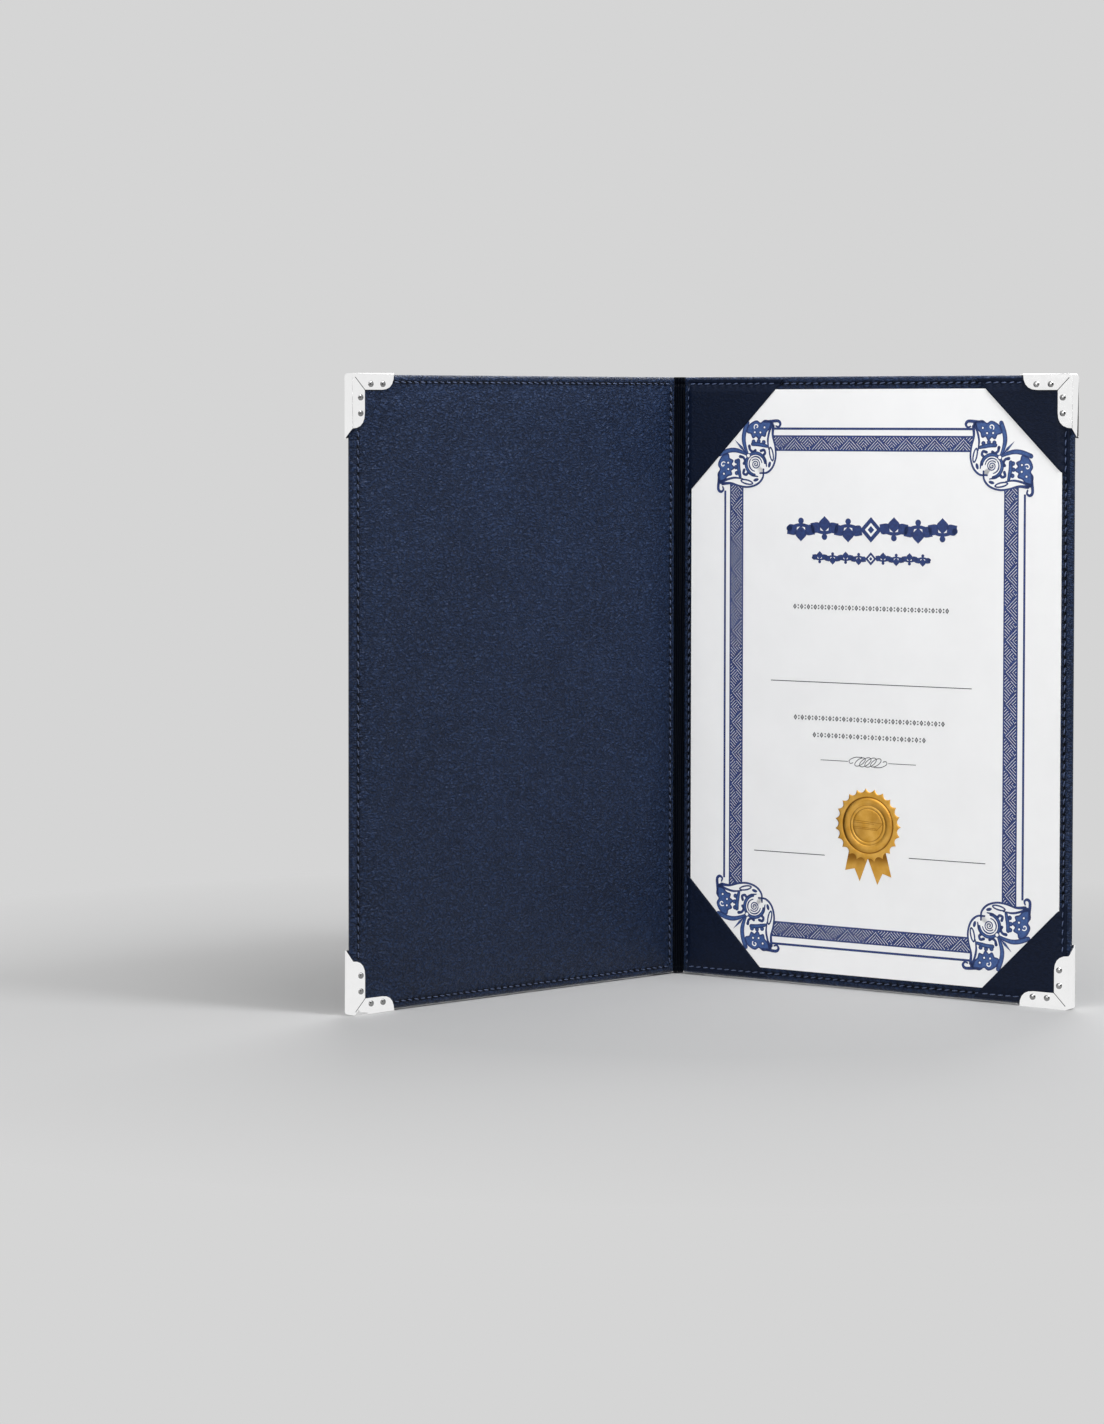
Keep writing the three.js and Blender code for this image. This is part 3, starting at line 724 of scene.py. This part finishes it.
# Metal corners: the stampings with rounded folds and edges, and the tacks

# the roundings, how far a wall stands out, and the level of each cover's tacks
cornerLook = {"fold": 1.2, "edge": 0.1, "wall": 0.65, "front": 3.03, "back": 4.18}


def coverPlace(points, side):
    # the opposite of placed
    x, y, z = np.asarray(points, float).T / mm
    x, y = side * x - cover["hingeHalf"], y - cover["hingeY"]
    cosine, sine = math.cos(cover["angle"]), math.sin(cover["angle"])
    return np.column_stack([x * cosine - y * sine, x * sine + y * cosine, z - cover["foot"]])


def pickFolds(copy, side):
    # the edges where the outer walls turn into the flanges
    shape = bmesh.from_edit_mesh(copy.data)
    local = coverPlace([vertex.co[:] for vertex in shape.verts], side)
    along, level, up = local.T
    wall = cornerLook["wall"] - 0.02
    outer = [along > cover["reach"] + wall, up < -wall, up > cover["height"] + wall]
    flange = [level < level.min() + 0.02, level > level.max() - 0.02]
    for edge in shape.edges:
        a, b = (vertex.index for vertex in edge.verts)
        onWall = any(places[a] and places[b] for places in outer)
        onFlange = any(places[a] and places[b] for places in flange)
        edge.select_set(onWall and onFlange and edge.calc_face_angle(0) > 1.0)
    bmesh.update_edit_mesh(copy.data)


def roundedCorner(name, side, body):
    node = nodes[name]
    copy = bpy.data.objects.new(name.title().replace("_", "") + "Metal", node.data.copy())
    scene.collection.objects.link(copy)
    pick(copy)
    bpy.ops.object.mode_set(mode="EDIT")
    bpy.ops.mesh.select_all(action="SELECT")
    bpy.ops.mesh.remove_doubles(threshold=0.00001)
    bpy.ops.mesh.dissolve_limited(angle_limit=math.radians(1.0))
    bpy.ops.mesh.select_mode(type="EDGE")
    bpy.ops.mesh.select_all(action="DESELECT")
    pickFolds(copy, side)
    bpy.ops.mesh.bevel(offset=cornerLook["fold"] * mm, segments=6, clamp_overlap=False)
    bpy.ops.object.mode_set(mode="OBJECT")
    bevel = copy.modifiers.new("edges", "BEVEL")
    bevel.width = cornerLook["edge"] * mm
    bevel.segments = 2
    bevel.limit_method = "ANGLE"
    bevel.angle_limit = math.radians(35)
    bpy.ops.object.modifier_apply(modifier=bevel.name)
    copy.data.materials.clear()
    copy.data.materials.append(metal)
    finishPiece(copy, body, smoothAngle=30)
    weighted = copy.modifiers.new("flatFaces", "WEIGHTED_NORMAL")
    weighted.keep_sharp = True
    pick(copy)
    bpy.ops.object.modifier_apply(modifier=weighted.name)
    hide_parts(name)


tackLook = {"radius": 1.5, "height": 0.62}


def tackModel():
    bpy.ops.object.select_all(action="DESELECT")
    bpy.ops.mesh.primitive_uv_sphere_add(segments=28, ring_count=16, radius=1.0)
    model = bpy.context.object
    bpy.ops.object.mode_set(mode="EDIT")
    bpy.ops.mesh.select_all(action="SELECT")
    bpy.ops.mesh.bisect(plane_co=(0, 0, 0.02), plane_no=(0, 0, 1), clear_inner=True, use_fill=True)
    bpy.ops.mesh.select_all(action="SELECT")
    bpy.ops.transform.resize(value=(tackLook["radius"], tackLook["radius"], tackLook["height"]))
    bpy.ops.object.mode_set(mode="OBJECT")
    return modelParts(model)


def tackPiece(name, model, side, body, level):
    points, faces = model
    middle = (np.array(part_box(name)[0]) + np.array(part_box(name)[1])) / 2
    along, _, up = coverPlace([middle], side)[0]
    local = np.column_stack([along + points[:, 0], -(level + points[:, 2]), up + points[:, 1]])
    tack = meshPiece(name.title().replace("_", "") + "Head", placed(local, side), faces, tackMetal, body)
    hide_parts(name)


tackHead = tackModel()
for prefix, side in covers:
    body = f"{prefix}_cover"
    for end in ("top", "bottom"):
        roundedCorner(f"{prefix}_corner_{end}", side, body)
        for index in range(4):
            tackPiece(f"{prefix}_corner_{end}_tack_{index + 1}", tackHead, side, body, cornerLook[prefix])
print("metal corners made")


# Print on the certificate: thin flat shapes in two blues, a near black and the paper's own colour

def oval(centre, radius, squash=1.0, turn=0.0, steps=24):
    angles = 2 * np.pi * np.arange(steps) / steps
    a, b = radius * np.cos(angles), radius * squash * np.sin(angles)
    return np.column_stack([centre[0] + a * math.cos(turn) - b * math.sin(turn),
                            centre[1] + a * math.sin(turn) + b * math.cos(turn)])


class Print:
    def __init__(self):
        self.points, self.faces, self.inks = [], [], []

    def shape(self, points, ink, lift):
        start = len(self.points)
        self.points += [(x, y, lift) for x, y in points]
        self.faces.append(tuple(range(start, start + len(points))))
        self.inks.append(ink)

    def line(self, points, width, ink, lift):
        # a line with round ends, as wide as the number, or as the list of numbers, says
        path = np.asarray(points, float)
        widths = np.full(len(path), width) if np.isscalar(width) else np.asarray(width, float)
        steps = np.gradient(path, axis=0)
        steps /= np.maximum(np.linalg.norm(steps, axis=1), 1e-9)[:, None]
        sideways = np.column_stack([-steps[:, 1], steps[:, 0]]) * widths[:, None] / 2
        left, right = path + sideways, path - sideways
        for index in range(len(path) - 1):
            self.shape([left[index], left[index + 1], right[index + 1], right[index]], ink, lift)
        for end in (0, -1):
            self.disc(path[end], widths[end] / 2, ink, lift, 10)

    def disc(self, centre, radius, ink, lift, steps):
        self.shape(oval(centre, radius, steps=steps), ink, lift)

    def box(self, left, top, right, bottom, ink, lift):
        self.shape([(left, top), (right, top), (right, bottom), (left, bottom)], ink, lift)

    def lozenge(self, x, y, wide, high, ink, shares, lift):
        # one inside another, the middle one in the paper's colour
        for index, (share, shade) in enumerate(zip(shares, (ink, 2, ink))):
            a, b = wide * share, high * share
            self.shape([(x - a, y), (x, y - b), (x + a, y), (x, y + b)], shade, lift + 0.01 * index)

    def piece(self, name, materials):
        obj = meshPiece(name, pagePlaced(self.points), self.faces, materials[0], "back_cover", smoothAngle=10,
                        closed=False)
        for material in materials[1:]:
            obj.data.materials.append(material)
        obj.data.polygons.foreach_set("material_index", self.inks)
        return obj


def curve(points, steps=14):
    # a smooth curve through the points
    path = [np.asarray(point, float) for point in points]
    path = [2 * path[0] - path[1], *path, 2 * path[-1] - path[-2]]
    result = []
    for index in range(1, len(path) - 2):
        a, b, c, d = path[index - 1:index + 3]
        for step in range(steps):
            t = step / steps
            bend, twist = 2 * a - 5 * b + 4 * c - d, 3 * b - a - 3 * c + d
            result.append(0.5 * (2 * b + (c - a) * t + bend * t * t + twist * t ** 3))
    result.append(path[-2])
    return np.array(result)


def spiral(centre, start, end, turns, first, steps=40):
    shares = np.linspace(0, 1, steps)
    radius = start + (end - start) * shares
    angle = first + 2 * np.pi * turns * shares
    return np.column_stack([centre[0] + radius * np.cos(angle), centre[1] + radius * np.sin(angle)])


borderLook = {
    "outer": (20.2, 20.0, 190.2, 284.0), "outerWidth": 1.15,
    "band": (23.0, 23.4, 186.9, 280.4), "bandWidth": 8.0, "rim": 0.85,
    "hatchPitch": 1.7, "hatchWidth": 0.2,
}


def hatch(page, left, top, right, bottom, across):
    # strokes that lean one way in one triangle and the other way in the next
    pitch, width = borderLook["hatchPitch"], borderLook["hatchWidth"]
    deep = (bottom - top) if across else (right - left)
    length = (right - left) if across else (bottom - top)
    tiles = max(1, round(length / (deep * 1.25)))
    tile = length / tiles
    for index in range(tiles):
        start = index * tile
        for lean in (1, -1):
            count = int((tile + deep) / pitch)
            for stroke in range(count + 1):
                offset = stroke * pitch - deep
                segment = []
                for share in np.linspace(0, 1, 25):
                    depth = share * deep
                    place = offset + depth if lean > 0 else offset + deep - depth
                    edge = tile * share if index % 2 == 0 else tile * (1 - share)
                    own = place < edge - 0.3 if lean > 0 else place > edge + 0.3
                    if own and 0 <= place <= tile:
                        segment.append((start + place, depth))
                if len(segment) > 2:
                    ends = [segment[0], segment[-1]]
                    if across:
                        ends = [(left + u, top + v) for u, v in ends]
                    else:
                        ends = [(left + v, top + u) for u, v in ends]
                    page.line(ends, width, 2, 0.06)


def border(page):
    left, top, right, bottom = borderLook["outer"]
    thin = borderLook["outerWidth"] / 2
    for y in (top, bottom):
        page.box(left + 28, y - thin, right - 28, y + thin, 0, 0.03)
    for x in (left, right):
        page.box(x - thin, top + 32, x + thin, bottom - 32, 0, 0.03)
    left, top, right, bottom = borderLook["band"]
    wide, rim = borderLook["bandWidth"], borderLook["rim"]
    for low, high in ((top, top + wide), (bottom - wide, bottom)):
        page.box(left + 22, low, right - 22, high, 0, 0.03)
        hatch(page, left + 22, low + rim, right - 22, high - rim, True)
    for low, high in ((left, left + wide), (right - wide, right)):
        page.box(low, top + 22, high, bottom - 22, 0, 0.03)
        hatch(page, low + rim, top + 22, high - rim, bottom - 22, False)


def ornament(page, flipX, flipY):
    # a scroll and leaf corner, the same on both sides of its diagonal. Places are from the sheet's corner.
    def place(points, swap):
        points = np.asarray(points, float)
        if swap:
            points = points[:, ::-1]
        x = 210.4 - points[:, 0] if flipX else points[:, 0]
        y = 304.0 - points[:, 1] if flipY else points[:, 1]
        return np.column_stack([x, y])

    lobe = curve([(48.4, 18.6), (48.2, 23.7), (49.6, 29.3), (49.9, 34.4), (48.3, 39.4), (45.0, 42.4),
                  (40.8, 42.8)])
    fan = curve([(47.2, 16.6), (46.4, 19.6), (44.4, 21.6), (43.6, 23.9), (41.6, 23.5), (40.2, 25.3),
                 (38.4, 23.8), (36.6, 24.7), (35.4, 22.6), (33.2, 21.8), (33.8, 19.0), (36.2, 17.0),
                 (38.8, 16.2), (41.0, 17.3), (43.6, 15.9), (47.2, 16.6)], 8)
    for swap in (False, True):
        page.shape(place(np.vstack([[(46.0, 16.4), (34.0, 16.4), (28.0, 22.0), (37.0, 37.0), (40.8, 42.8)],
                                    lobe[::-1]]), swap), 2, 0.07)
    for swap in (False, True):
        def line(points, widths, ink=0, lift=0.09):
            path = curve(points) if len(points) < 12 else points
            if not np.isscalar(widths):
                widths = np.interp(np.linspace(0, 1, len(path)), np.linspace(0, 1, len(widths)), widths)
            page.line(place(path, swap), widths, ink, lift)

        def filled(points, widths, trim=1.1):
            # a dark stroke with a paler one along its middle
            line(points, widths)
            line(points, [max(width - trim, 0.12) for width in widths], 3, 0.1)

        def drop(x, y, radius, squash, turn, ink=0, lift=0.09):
            page.shape(place(oval((x, y), radius, squash, turn, 20), swap), ink, lift)

        page.shape(place(fan[:-1], swap), 3, 0.085)
        line(fan, 0.75)
        for x, y in ((43.3, 19.4), (37.6, 21.9), (40.9, 22.0)):
            drop(x, y, 0.95, 1, 0)
            drop(x, y, 0.5, 1, 0, 2, 0.1)
        line(spiral((38.6, 19.0), 1.5, 0.5, 0.8, 2.4), 0.55, 2, 0.1)
        line([(43.0, 16.5), (47.0, 16.3), (51.2, 16.1), (52.6, 17.6), (51.6, 19.1), (50.0, 18.7)],
             [1.2, 1.6, 1.5, 1.1, 0.8])
        line(lobe, [1.7, 1.0, 1.0, 1.1, 0.9])
        line([(47.8, 17.4), (46.2, 21.4), (45.3, 25.9), (45.8, 30.6)], [1.7, 1.2, 1.1, 0.6])
        drop(47.4, 33.0, 3.9, 0.36, math.radians(78))
        drop(47.4, 33.0, 2.9, 0.2, math.radians(78), 2, 0.1)
        filled([(36.4, 27.9), (39.4, 28.0), (42.4, 28.5), (45.0, 29.1)], [2.2, 2.2, 2.1, 1.6])
        for x, y in ((36.9, 26.7), (39.9, 26.5), (42.9, 27.0)):
            drop(x, y, 1.15, 1, 0)
            drop(x, y, 0.5, 1, 0, 3, 0.1)
        line([(34.4, 29.0), (34.9, 30.9), (36.6, 31.9), (38.0, 31.2)], [1.7, 1.3, 1.4, 1.5])
        line([(41.2, 31.4), (43.0, 31.0), (43.7, 32.6), (42.7, 33.9), (44.0, 36.4), (44.6, 39.4)],
             [1.5, 1.4, 1.3, 1.4, 1.2, 0.6])
        drop(46.3, 38.4, 1.6, 0.5, math.radians(105))
        filled(spiral((38.2, 38.2), 5.7, 5.5, 0.36, math.radians(-136), 24), [1.6, 1.9, 1.8, 1.2])
        line(spiral((38.2, 38.2), 3.9, 3.7, 0.33, math.radians(-130), 20), [0.5, 0.8, 0.5])
        filled([(33.9, 34.2), (32.0, 29.8), (31.1, 25.8), (31.5, 21.8), (33.2, 17.0)],
               [1.0, 2.0, 2.4, 2.5, 2.5])
    for points, ink, lift in (([(32.4, 32.4), (29.2, 30.2), (25.8, 25.8), (30.2, 29.2)], 0, 0.1),
                              ([(31.4, 31.4), (29.2, 29.6), (26.6, 26.6), (29.6, 29.2)], 3, 0.11)):
        page.shape(place(points, False), ink, lift)
    page.line(place(spiral((38.2, 38.2), 2.7, 0.4, 2.1, 3.9, 70), False), 0.55, 0, 0.1)
    eye = place([(33.9, 33.9)], False)[0]
    page.disc(eye, 1.35, 0, 0.12, 18)
    page.disc(eye, 0.85, 2, 0.13, 18)


def lozenges(page, left, right, y, size, ink):
    # a plain row of lozenges and dots, in the place of a line of words
    count = max(1, int((right - left) / (size * 1.35)))
    pitch = (right - left) / count
    for index in range(count):
        x = left + (index + 0.5) * pitch
        page.lozenge(x, y, size * 0.36, size / 2, ink, (1.0, 0.46, 0.24), 0.04)
        if index:
            for rise in (-0.24, 0.24):
                page.disc((x - pitch / 2, y + rise * size), size * 0.14, ink, 0.04, 12)


def vine(page, left, right, y, size, ink):
    # a running stem with leaves on both sides of a lozenge, in the place of a heavy line of words
    middle, waves = (left + right) / 2, round((right - left) / 2 / (size * 1.15))
    reach = (right - left) / 2 - size * 0.5
    for sign in (1, -1):
        def place(along, up):
            return (middle + sign * (size * 0.5 + along), y + sign * up)

        step = reach / waves
        shares = np.linspace(0, 1, waves * 16)
        stem = [place(reach * share, 0.15 * size * math.sin(share * waves * math.pi)) for share in shares]
        page.line(stem, size * 0.14, ink, 0.04)
        for index in range(waves):
            foot, lean = (index + 0.5) * step, 1 if index % 2 == 0 else -1
            for start, turn, long in ((-0.16, 2.5, 0.6), (0.0, 1.57, 0.66), (0.16, 0.64, 0.6)):
                root = (foot + start * step, 0.13 * size * lean)
                tip = (root[0] + math.cos(turn) * long * size, root[1] - lean * math.sin(turn) * long * size)
                side = (-(tip[1] - root[1]) * 0.42, (tip[0] - root[0]) * 0.42)
                half = ((root[0] + tip[0]) / 2, (root[1] + tip[1]) / 2)
                leaf = curve([root, (half[0] + side[0], half[1] + side[1]), tip], 6)
                back = curve([tip, (half[0] - side[0], half[1] - side[1]), root], 6)
                page.shape([place(*point) for point in [*leaf[:-1], *back[:-1]]], ink, 0.05)
            page.disc(place(foot, 0.32 * size * lean), size * 0.13, ink, 0.05, 14)
        page.disc(place(reach, 0), size * 0.13, ink, 0.05, 16)
    page.lozenge(middle, y, size * 0.5, size * 0.52, ink, (1.0, 0.55, 0.3), 0.06)


def flourish(page):
    y = 188.2
    page.box(76.7, y - 0.16, 92.5, y + 0.16, 1, 0.04)
    page.box(115.5, y - 0.16, 131.0, y + 0.16, 1, 0.04)
    for middle, long, wide in ((99.4, 3.4, 1.5), (102.4, 3.7, 1.7), (105.4, 3.7, 1.7), (108.4, 3.4, 1.5)):
        loop = oval((middle, y), long, wide / long, -0.55, 59)
        page.line(np.vstack([loop, loop[:1]]), 0.36, 1, 0.04)
    hook = ((3.4, 2.4), (7.4, 2.2), (10.6, 0.6), (10.2, -0.9), (8.6, -0.6))
    for sign in (1, -1):
        page.line(curve([(103.9 + sign * a, y + sign * b) for a, b in hook]), 0.36, 1, 0.04)


def certificatePrint():
    page = Print()
    border(page)
    for flipX in (False, True):
        for flipY in (False, True):
            ornament(page, flipX, flipY)
    vine(page, 58, 152, 70.8, 12.4, 0)
    vine(page, 72, 138, 85.4, 6.4, 0)
    lozenges(page, 59.5, 150, 110.5, 2.9, 1)
    page.box(47.6, 148.5, 161.8, 148.9, 1, 0.04)
    lozenges(page, 60, 148, 167.0, 2.9, 1)
    lozenges(page, 71, 137.5, 175.6, 2.9, 1)
    flourish(page)
    page.box(38.0, 236.5, 79.3, 236.9, 1, 0.04)
    page.box(127.3, 235.0, 169.8, 235.4, 1, 0.04)
    page.piece("certificatePrint", [blueInk, darkInk, certificatePaper, paleInk])


certificatePrint()
nodes["certificate"].data.materials.clear()
nodes["certificate"].data.materials.append(certificatePaper)
print("certificate printed")


# Foil seal, embossed

sealLook = {"radius": 18.7, "teeth": 23, "x": 104.0, "y": 220.0, "notch": 1.9}
sealProfile = [  # radius, height and how much painted shade darkens the foil
    (1.5, 0.2, 0.0), (3.0, 0.2, 0.0), (4.5, 0.2, 0.0), (6.0, 0.2, 0.0), (7.2, 0.2, 0.0), (8.2, 0.2, 0.05),
    (8.45, 0.14, 0.75), (8.7, 0.2, 0.1), (9.2, 0.25, 0.0), (9.8, 0.22, 0.1), (10.05, 0.16, 0.6),
    (10.3, 0.22, 0.1), (11.0, 0.3, 0.1), (11.8, 0.34, 0.0), (12.8, 0.34, 0.1), (13.6, 0.28, 0.2),
    (13.95, 0.16, 0.7), (14.15, 0.1, 1.0), (14.4, 0.17, 0.5), (14.7, 0.2, 0.0), (15.3, 0.2, 0.0),
]
ribbons = {  # outer, middle and inner edge at the top, then at the bottom, from the seal's middle
    "Left": [(-10.6, 13.0), (-6.0, 15.0), (0.4, 16.0), (-12.8, 23.4), (-7.4, 22.2), (-4.5, 28.6)],
    "Right": [(-0.2, 16.0), (5.4, 15.0), (10.2, 13.0), (5.6, 29.8), (8.5, 24.0), (13.5, 25.6)],
}


def sealPiece():
    around = sealLook["teeth"] * 16
    angles = 2 * np.pi * np.arange(around) / around
    tooth = np.abs(((angles * sealLook["teeth"] / (2 * np.pi)) % 1) - 0.5) * 2
    outer = sealLook["radius"] - sealLook["notch"] * (1 - tooth ** 2.2)
    # a painted sheen: the foil is painted darker in two opposite quarters, standing in for light on brushed
    # foil
    paintedBrushSheen = 0.5 + 0.5 * np.cos(2 * (angles + 0.5))
    points, shades = [], []

    def ring(radius, height):
        x, y = radius * np.cos(angles), radius * np.sin(angles)
        points.append(np.column_stack([x, y, np.full(around, height)]))

    for radius, height, shade in sealProfile:
        ring(radius, height)
        # the rings carry this painted sheen as well as their painted shade
        brushSheen = 0.3 * paintedBrushSheen if radius < 8.3 or 10.2 < radius < 13.9 else 0.06 * paintedBrushSheen
        shades.append(np.clip(shade + brushSheen * min(1, radius / 4), 0, 1))
    for share, height in ((0.3, 0.2), (0.6, 0.2), (0.85, 0.18), (1.0, 0.12)):
        ring(15.3 + (outer - 15.3) * share, height)
        shades.append(0.08 + 0.1 * share * paintedBrushSheen)
    points.append(points[-1] - [0, 0, 0.05])
    # the rim's edge is painted darker: painted shade
    shades.append(np.full(around, 0.4))
    faces = gridFaces(len(points), around, wrap=True)
    last = (len(points) - 1) * around
    faces.append(tuple(range(last, last + around)))
    faces += [(last + around, index, (index + 1) % around) for index in range(around)]
    points = np.vstack(points + [[(0, 0, 0.2)]]) + [sealLook["x"], sealLook["y"], 0]
    seal = meshPiece("sealRosette", pagePlaced(points), faces, gold, "back_cover", smoothAngle=50)
    setShade(seal, np.concatenate([*shades, [0.15]]))
    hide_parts("certificate_seal")


def sealBar():
    # a plain blank bar across the middle, pointed at its right end
    page = Print()
    for path in ([(-8.0, -2.3), (8.3, -1.2)], [(-8.0, -1.3), (3.6, -0.7)], [(-8.0, 0.9), (5.0, 1.6)],
                 [(-8.0, 1.7), (5.2, 2.3), (8.3, -1.0)]):
        page.line([(sealLook["x"] + a, sealLook["y"] + b) for a, b in path], 0.3, 0, 0.215)
    bar = page.piece("sealBar", [gold])
    # the bar's lines are painted darker gold: painted shade standing in for its embossed edges
    setShade(bar, np.full(len(page.points), 0.62))


def ribbon(name, places):
    # a ribbon's tail with a notched end, darker in the shade of the rosette
    top, foot = np.array(places[:3]), np.array(places[3:])
    rowCount, front, shades = 14, [], []
    for share in np.linspace(0, 1, rowCount):
        for a, b in zip(top, foot):
            x, y = a + (b - a) * share
            front.append((sealLook["x"] + x, sealLook["y"] + y, 0.11))
            shades.append(float(np.clip((20.5 - y) / 4, 0, 1)) * 0.75 + 0.1)
    points = pagePlaced(front + [(x, y, 0.05) for x, y, lift in front])
    piece = meshPiece(f"sealRibbon{name}", points, slabFaces(rowCount, 3), gold, "back_cover", smoothAngle=30)
    setShade(piece, shades * 2)


sealPiece()
sealBar()
for name, places in ribbons.items():
    ribbon(name, places)
print("seal made")


# Inner layers

for name, node in nodes.items():
    inner = foam if name.endswith("_pad") else greyboard if name.endswith(("_board", "_core")) else None
    if inner:
        node.data.materials.clear()
        node.data.materials.append(inner)


# Studio

studio = {"floor": (170, 170, 170), "wall": (213, 213, 213), "worldLevel": 0.135, "mirrored": 0.88}


def studioMaterial():
    # the floor keeps its shadows near the cover, what the camera sees behind it is an even pale grey, and
    # the metal mirrors white paper
    tree = Tree(bpy.data.materials.new("studioPaper"))
    place = tree.place()
    cloud = tree.noise(place, 1.5, 2.0)
    paler = colour(*(value + 3 for value in studio["floor"]))
    tree.finish(Base_Color=tree.mix(cloud, colour(*studio["floor"]), paler), Roughness=0.9)
    seen, mirrored = (tree.add("ShaderNodeLightPath", output=output) for output in (0, 3))
    away = tree.add("ShaderNodeVectorMath", {"operation": "LENGTH"}, {0: place}, output=1)
    depth = tree.add("ShaderNodeSeparateXYZ", {}, {0: place}, output=1)
    share = tree.math("MAXIMUM", away.between(0.2, 0.55) * seen, mirrored * depth.between(-1.0, -0.9))
    shade = tree.mix(mirrored, colour(*studio["wall"]), (studio["mirrored"],) * 3 + (1,))
    glow = tree.add("ShaderNodeEmission", {}, {"Color": shade})
    mixed = tree.add("ShaderNodeMixShader", {}, {
        0: share, 1: Wire(tree, tree.nodes["Principled BSDF"].outputs[0]), 2: glow})
    tree.feed(tree.nodes["Material Output"].inputs["Surface"], mixed)
    return tree.owner


def darkCard():
    # a black card behind the camera, which only the polished metal mirrors
    points = [(-3.6, -3.4, 0.0), (3.6, -3.4, 0.0), (3.6, -3.4, 2.6), (-3.6, -3.4, 2.6)]
    black = plainMaterial("blackCard", (6, 6, 6), (12, 12, 12), 0.05, 0.0001)
    card = meshPiece("blackCard", points, [(0, 1, 2, 3)], black, None, closed=False)
    card.visible_camera = False
    card.visible_diffuse = False
    card.visible_shadow = False


def backdrop():
    # a floor that sweeps up into a wall behind the cover
    profile = [(-4.0, 0.0), (1.6, 0.0)]
    profile += [(1.6 + math.sin(turn), 1 - math.cos(turn)) for turn in np.linspace(0.1, math.pi / 2, 14)]
    profile += [(2.6, 3.5)]
    points = [(x, y, z) for y, z in profile for x in (-5.0, 5.0)]
    sweep = meshPiece("studioSweep", points, gridFaces(len(profile), 2), studioMaterial(), None, closed=False)


def lamp(name, place, target, size, power, shade=(1, 1, 1)):
    data = bpy.data.lights.new(name, "AREA")
    data.shape, data.size, data.energy, data.color = "SQUARE", size, power, shade
    obj = bpy.data.objects.new(name, data)
    scene.collection.objects.link(obj)
    obj.location = place
    direction = np.array(target) - np.array(place)
    obj.rotation_euler = (math.atan2(math.hypot(direction[0], direction[1]), -direction[2]), 0,
                          math.atan2(direction[1], direction[0]) - math.pi / 2)


backdrop()
darkCard()
lamp("keyLight", (-1.7, -1.9, 1.0), (0, 0, 0.1), 1.4, 34)
lamp("sideLight", (0.32, -0.32, 0.86), (-0.09, 0, 0.36), 0.22, 6.2, (0.97, 0.98, 1.0))
lamp("topLight", (0.0, -0.55, 1.6), (0, 0, 0.1), 1.0, 9)
lamp("backLight", (0.5, 1.7, 1.5), (0, 0, 0.15), 1.4, 30)
scene.world = bpy.data.worlds.new("studioWorld")
sky = Tree(scene.world)
mirrored = sky.add("ShaderNodeLightPath", output=3)
strength = mirrored.between(0, 1, studio["worldLevel"], studio["mirrored"])
sky.feed(sky.nodes["Background"].inputs["Color"], (1, 1, 1, 1))
sky.feed(sky.nodes["Background"].inputs["Strength"], strength)
scene.view_settings.view_transform = "Standard"

view = {"place": (-0.254, -1.980, 0.292), "lens": 100.2, "down": 2.26, "turn": 3.18, "shift": (0.1, -0.1)}
cameraData = bpy.data.cameras.new("camera")
camera = bpy.data.objects.new("camera", cameraData)
scene.collection.objects.link(camera)
camera.location = view["place"]
camera.rotation_euler = (math.radians(90 - view["down"]), 0, math.radians(-view["turn"]))
cameraData.lens = view["lens"]
cameraData.shift_x, cameraData.shift_y = view["shift"]
scene.camera = camera
print("studio made")
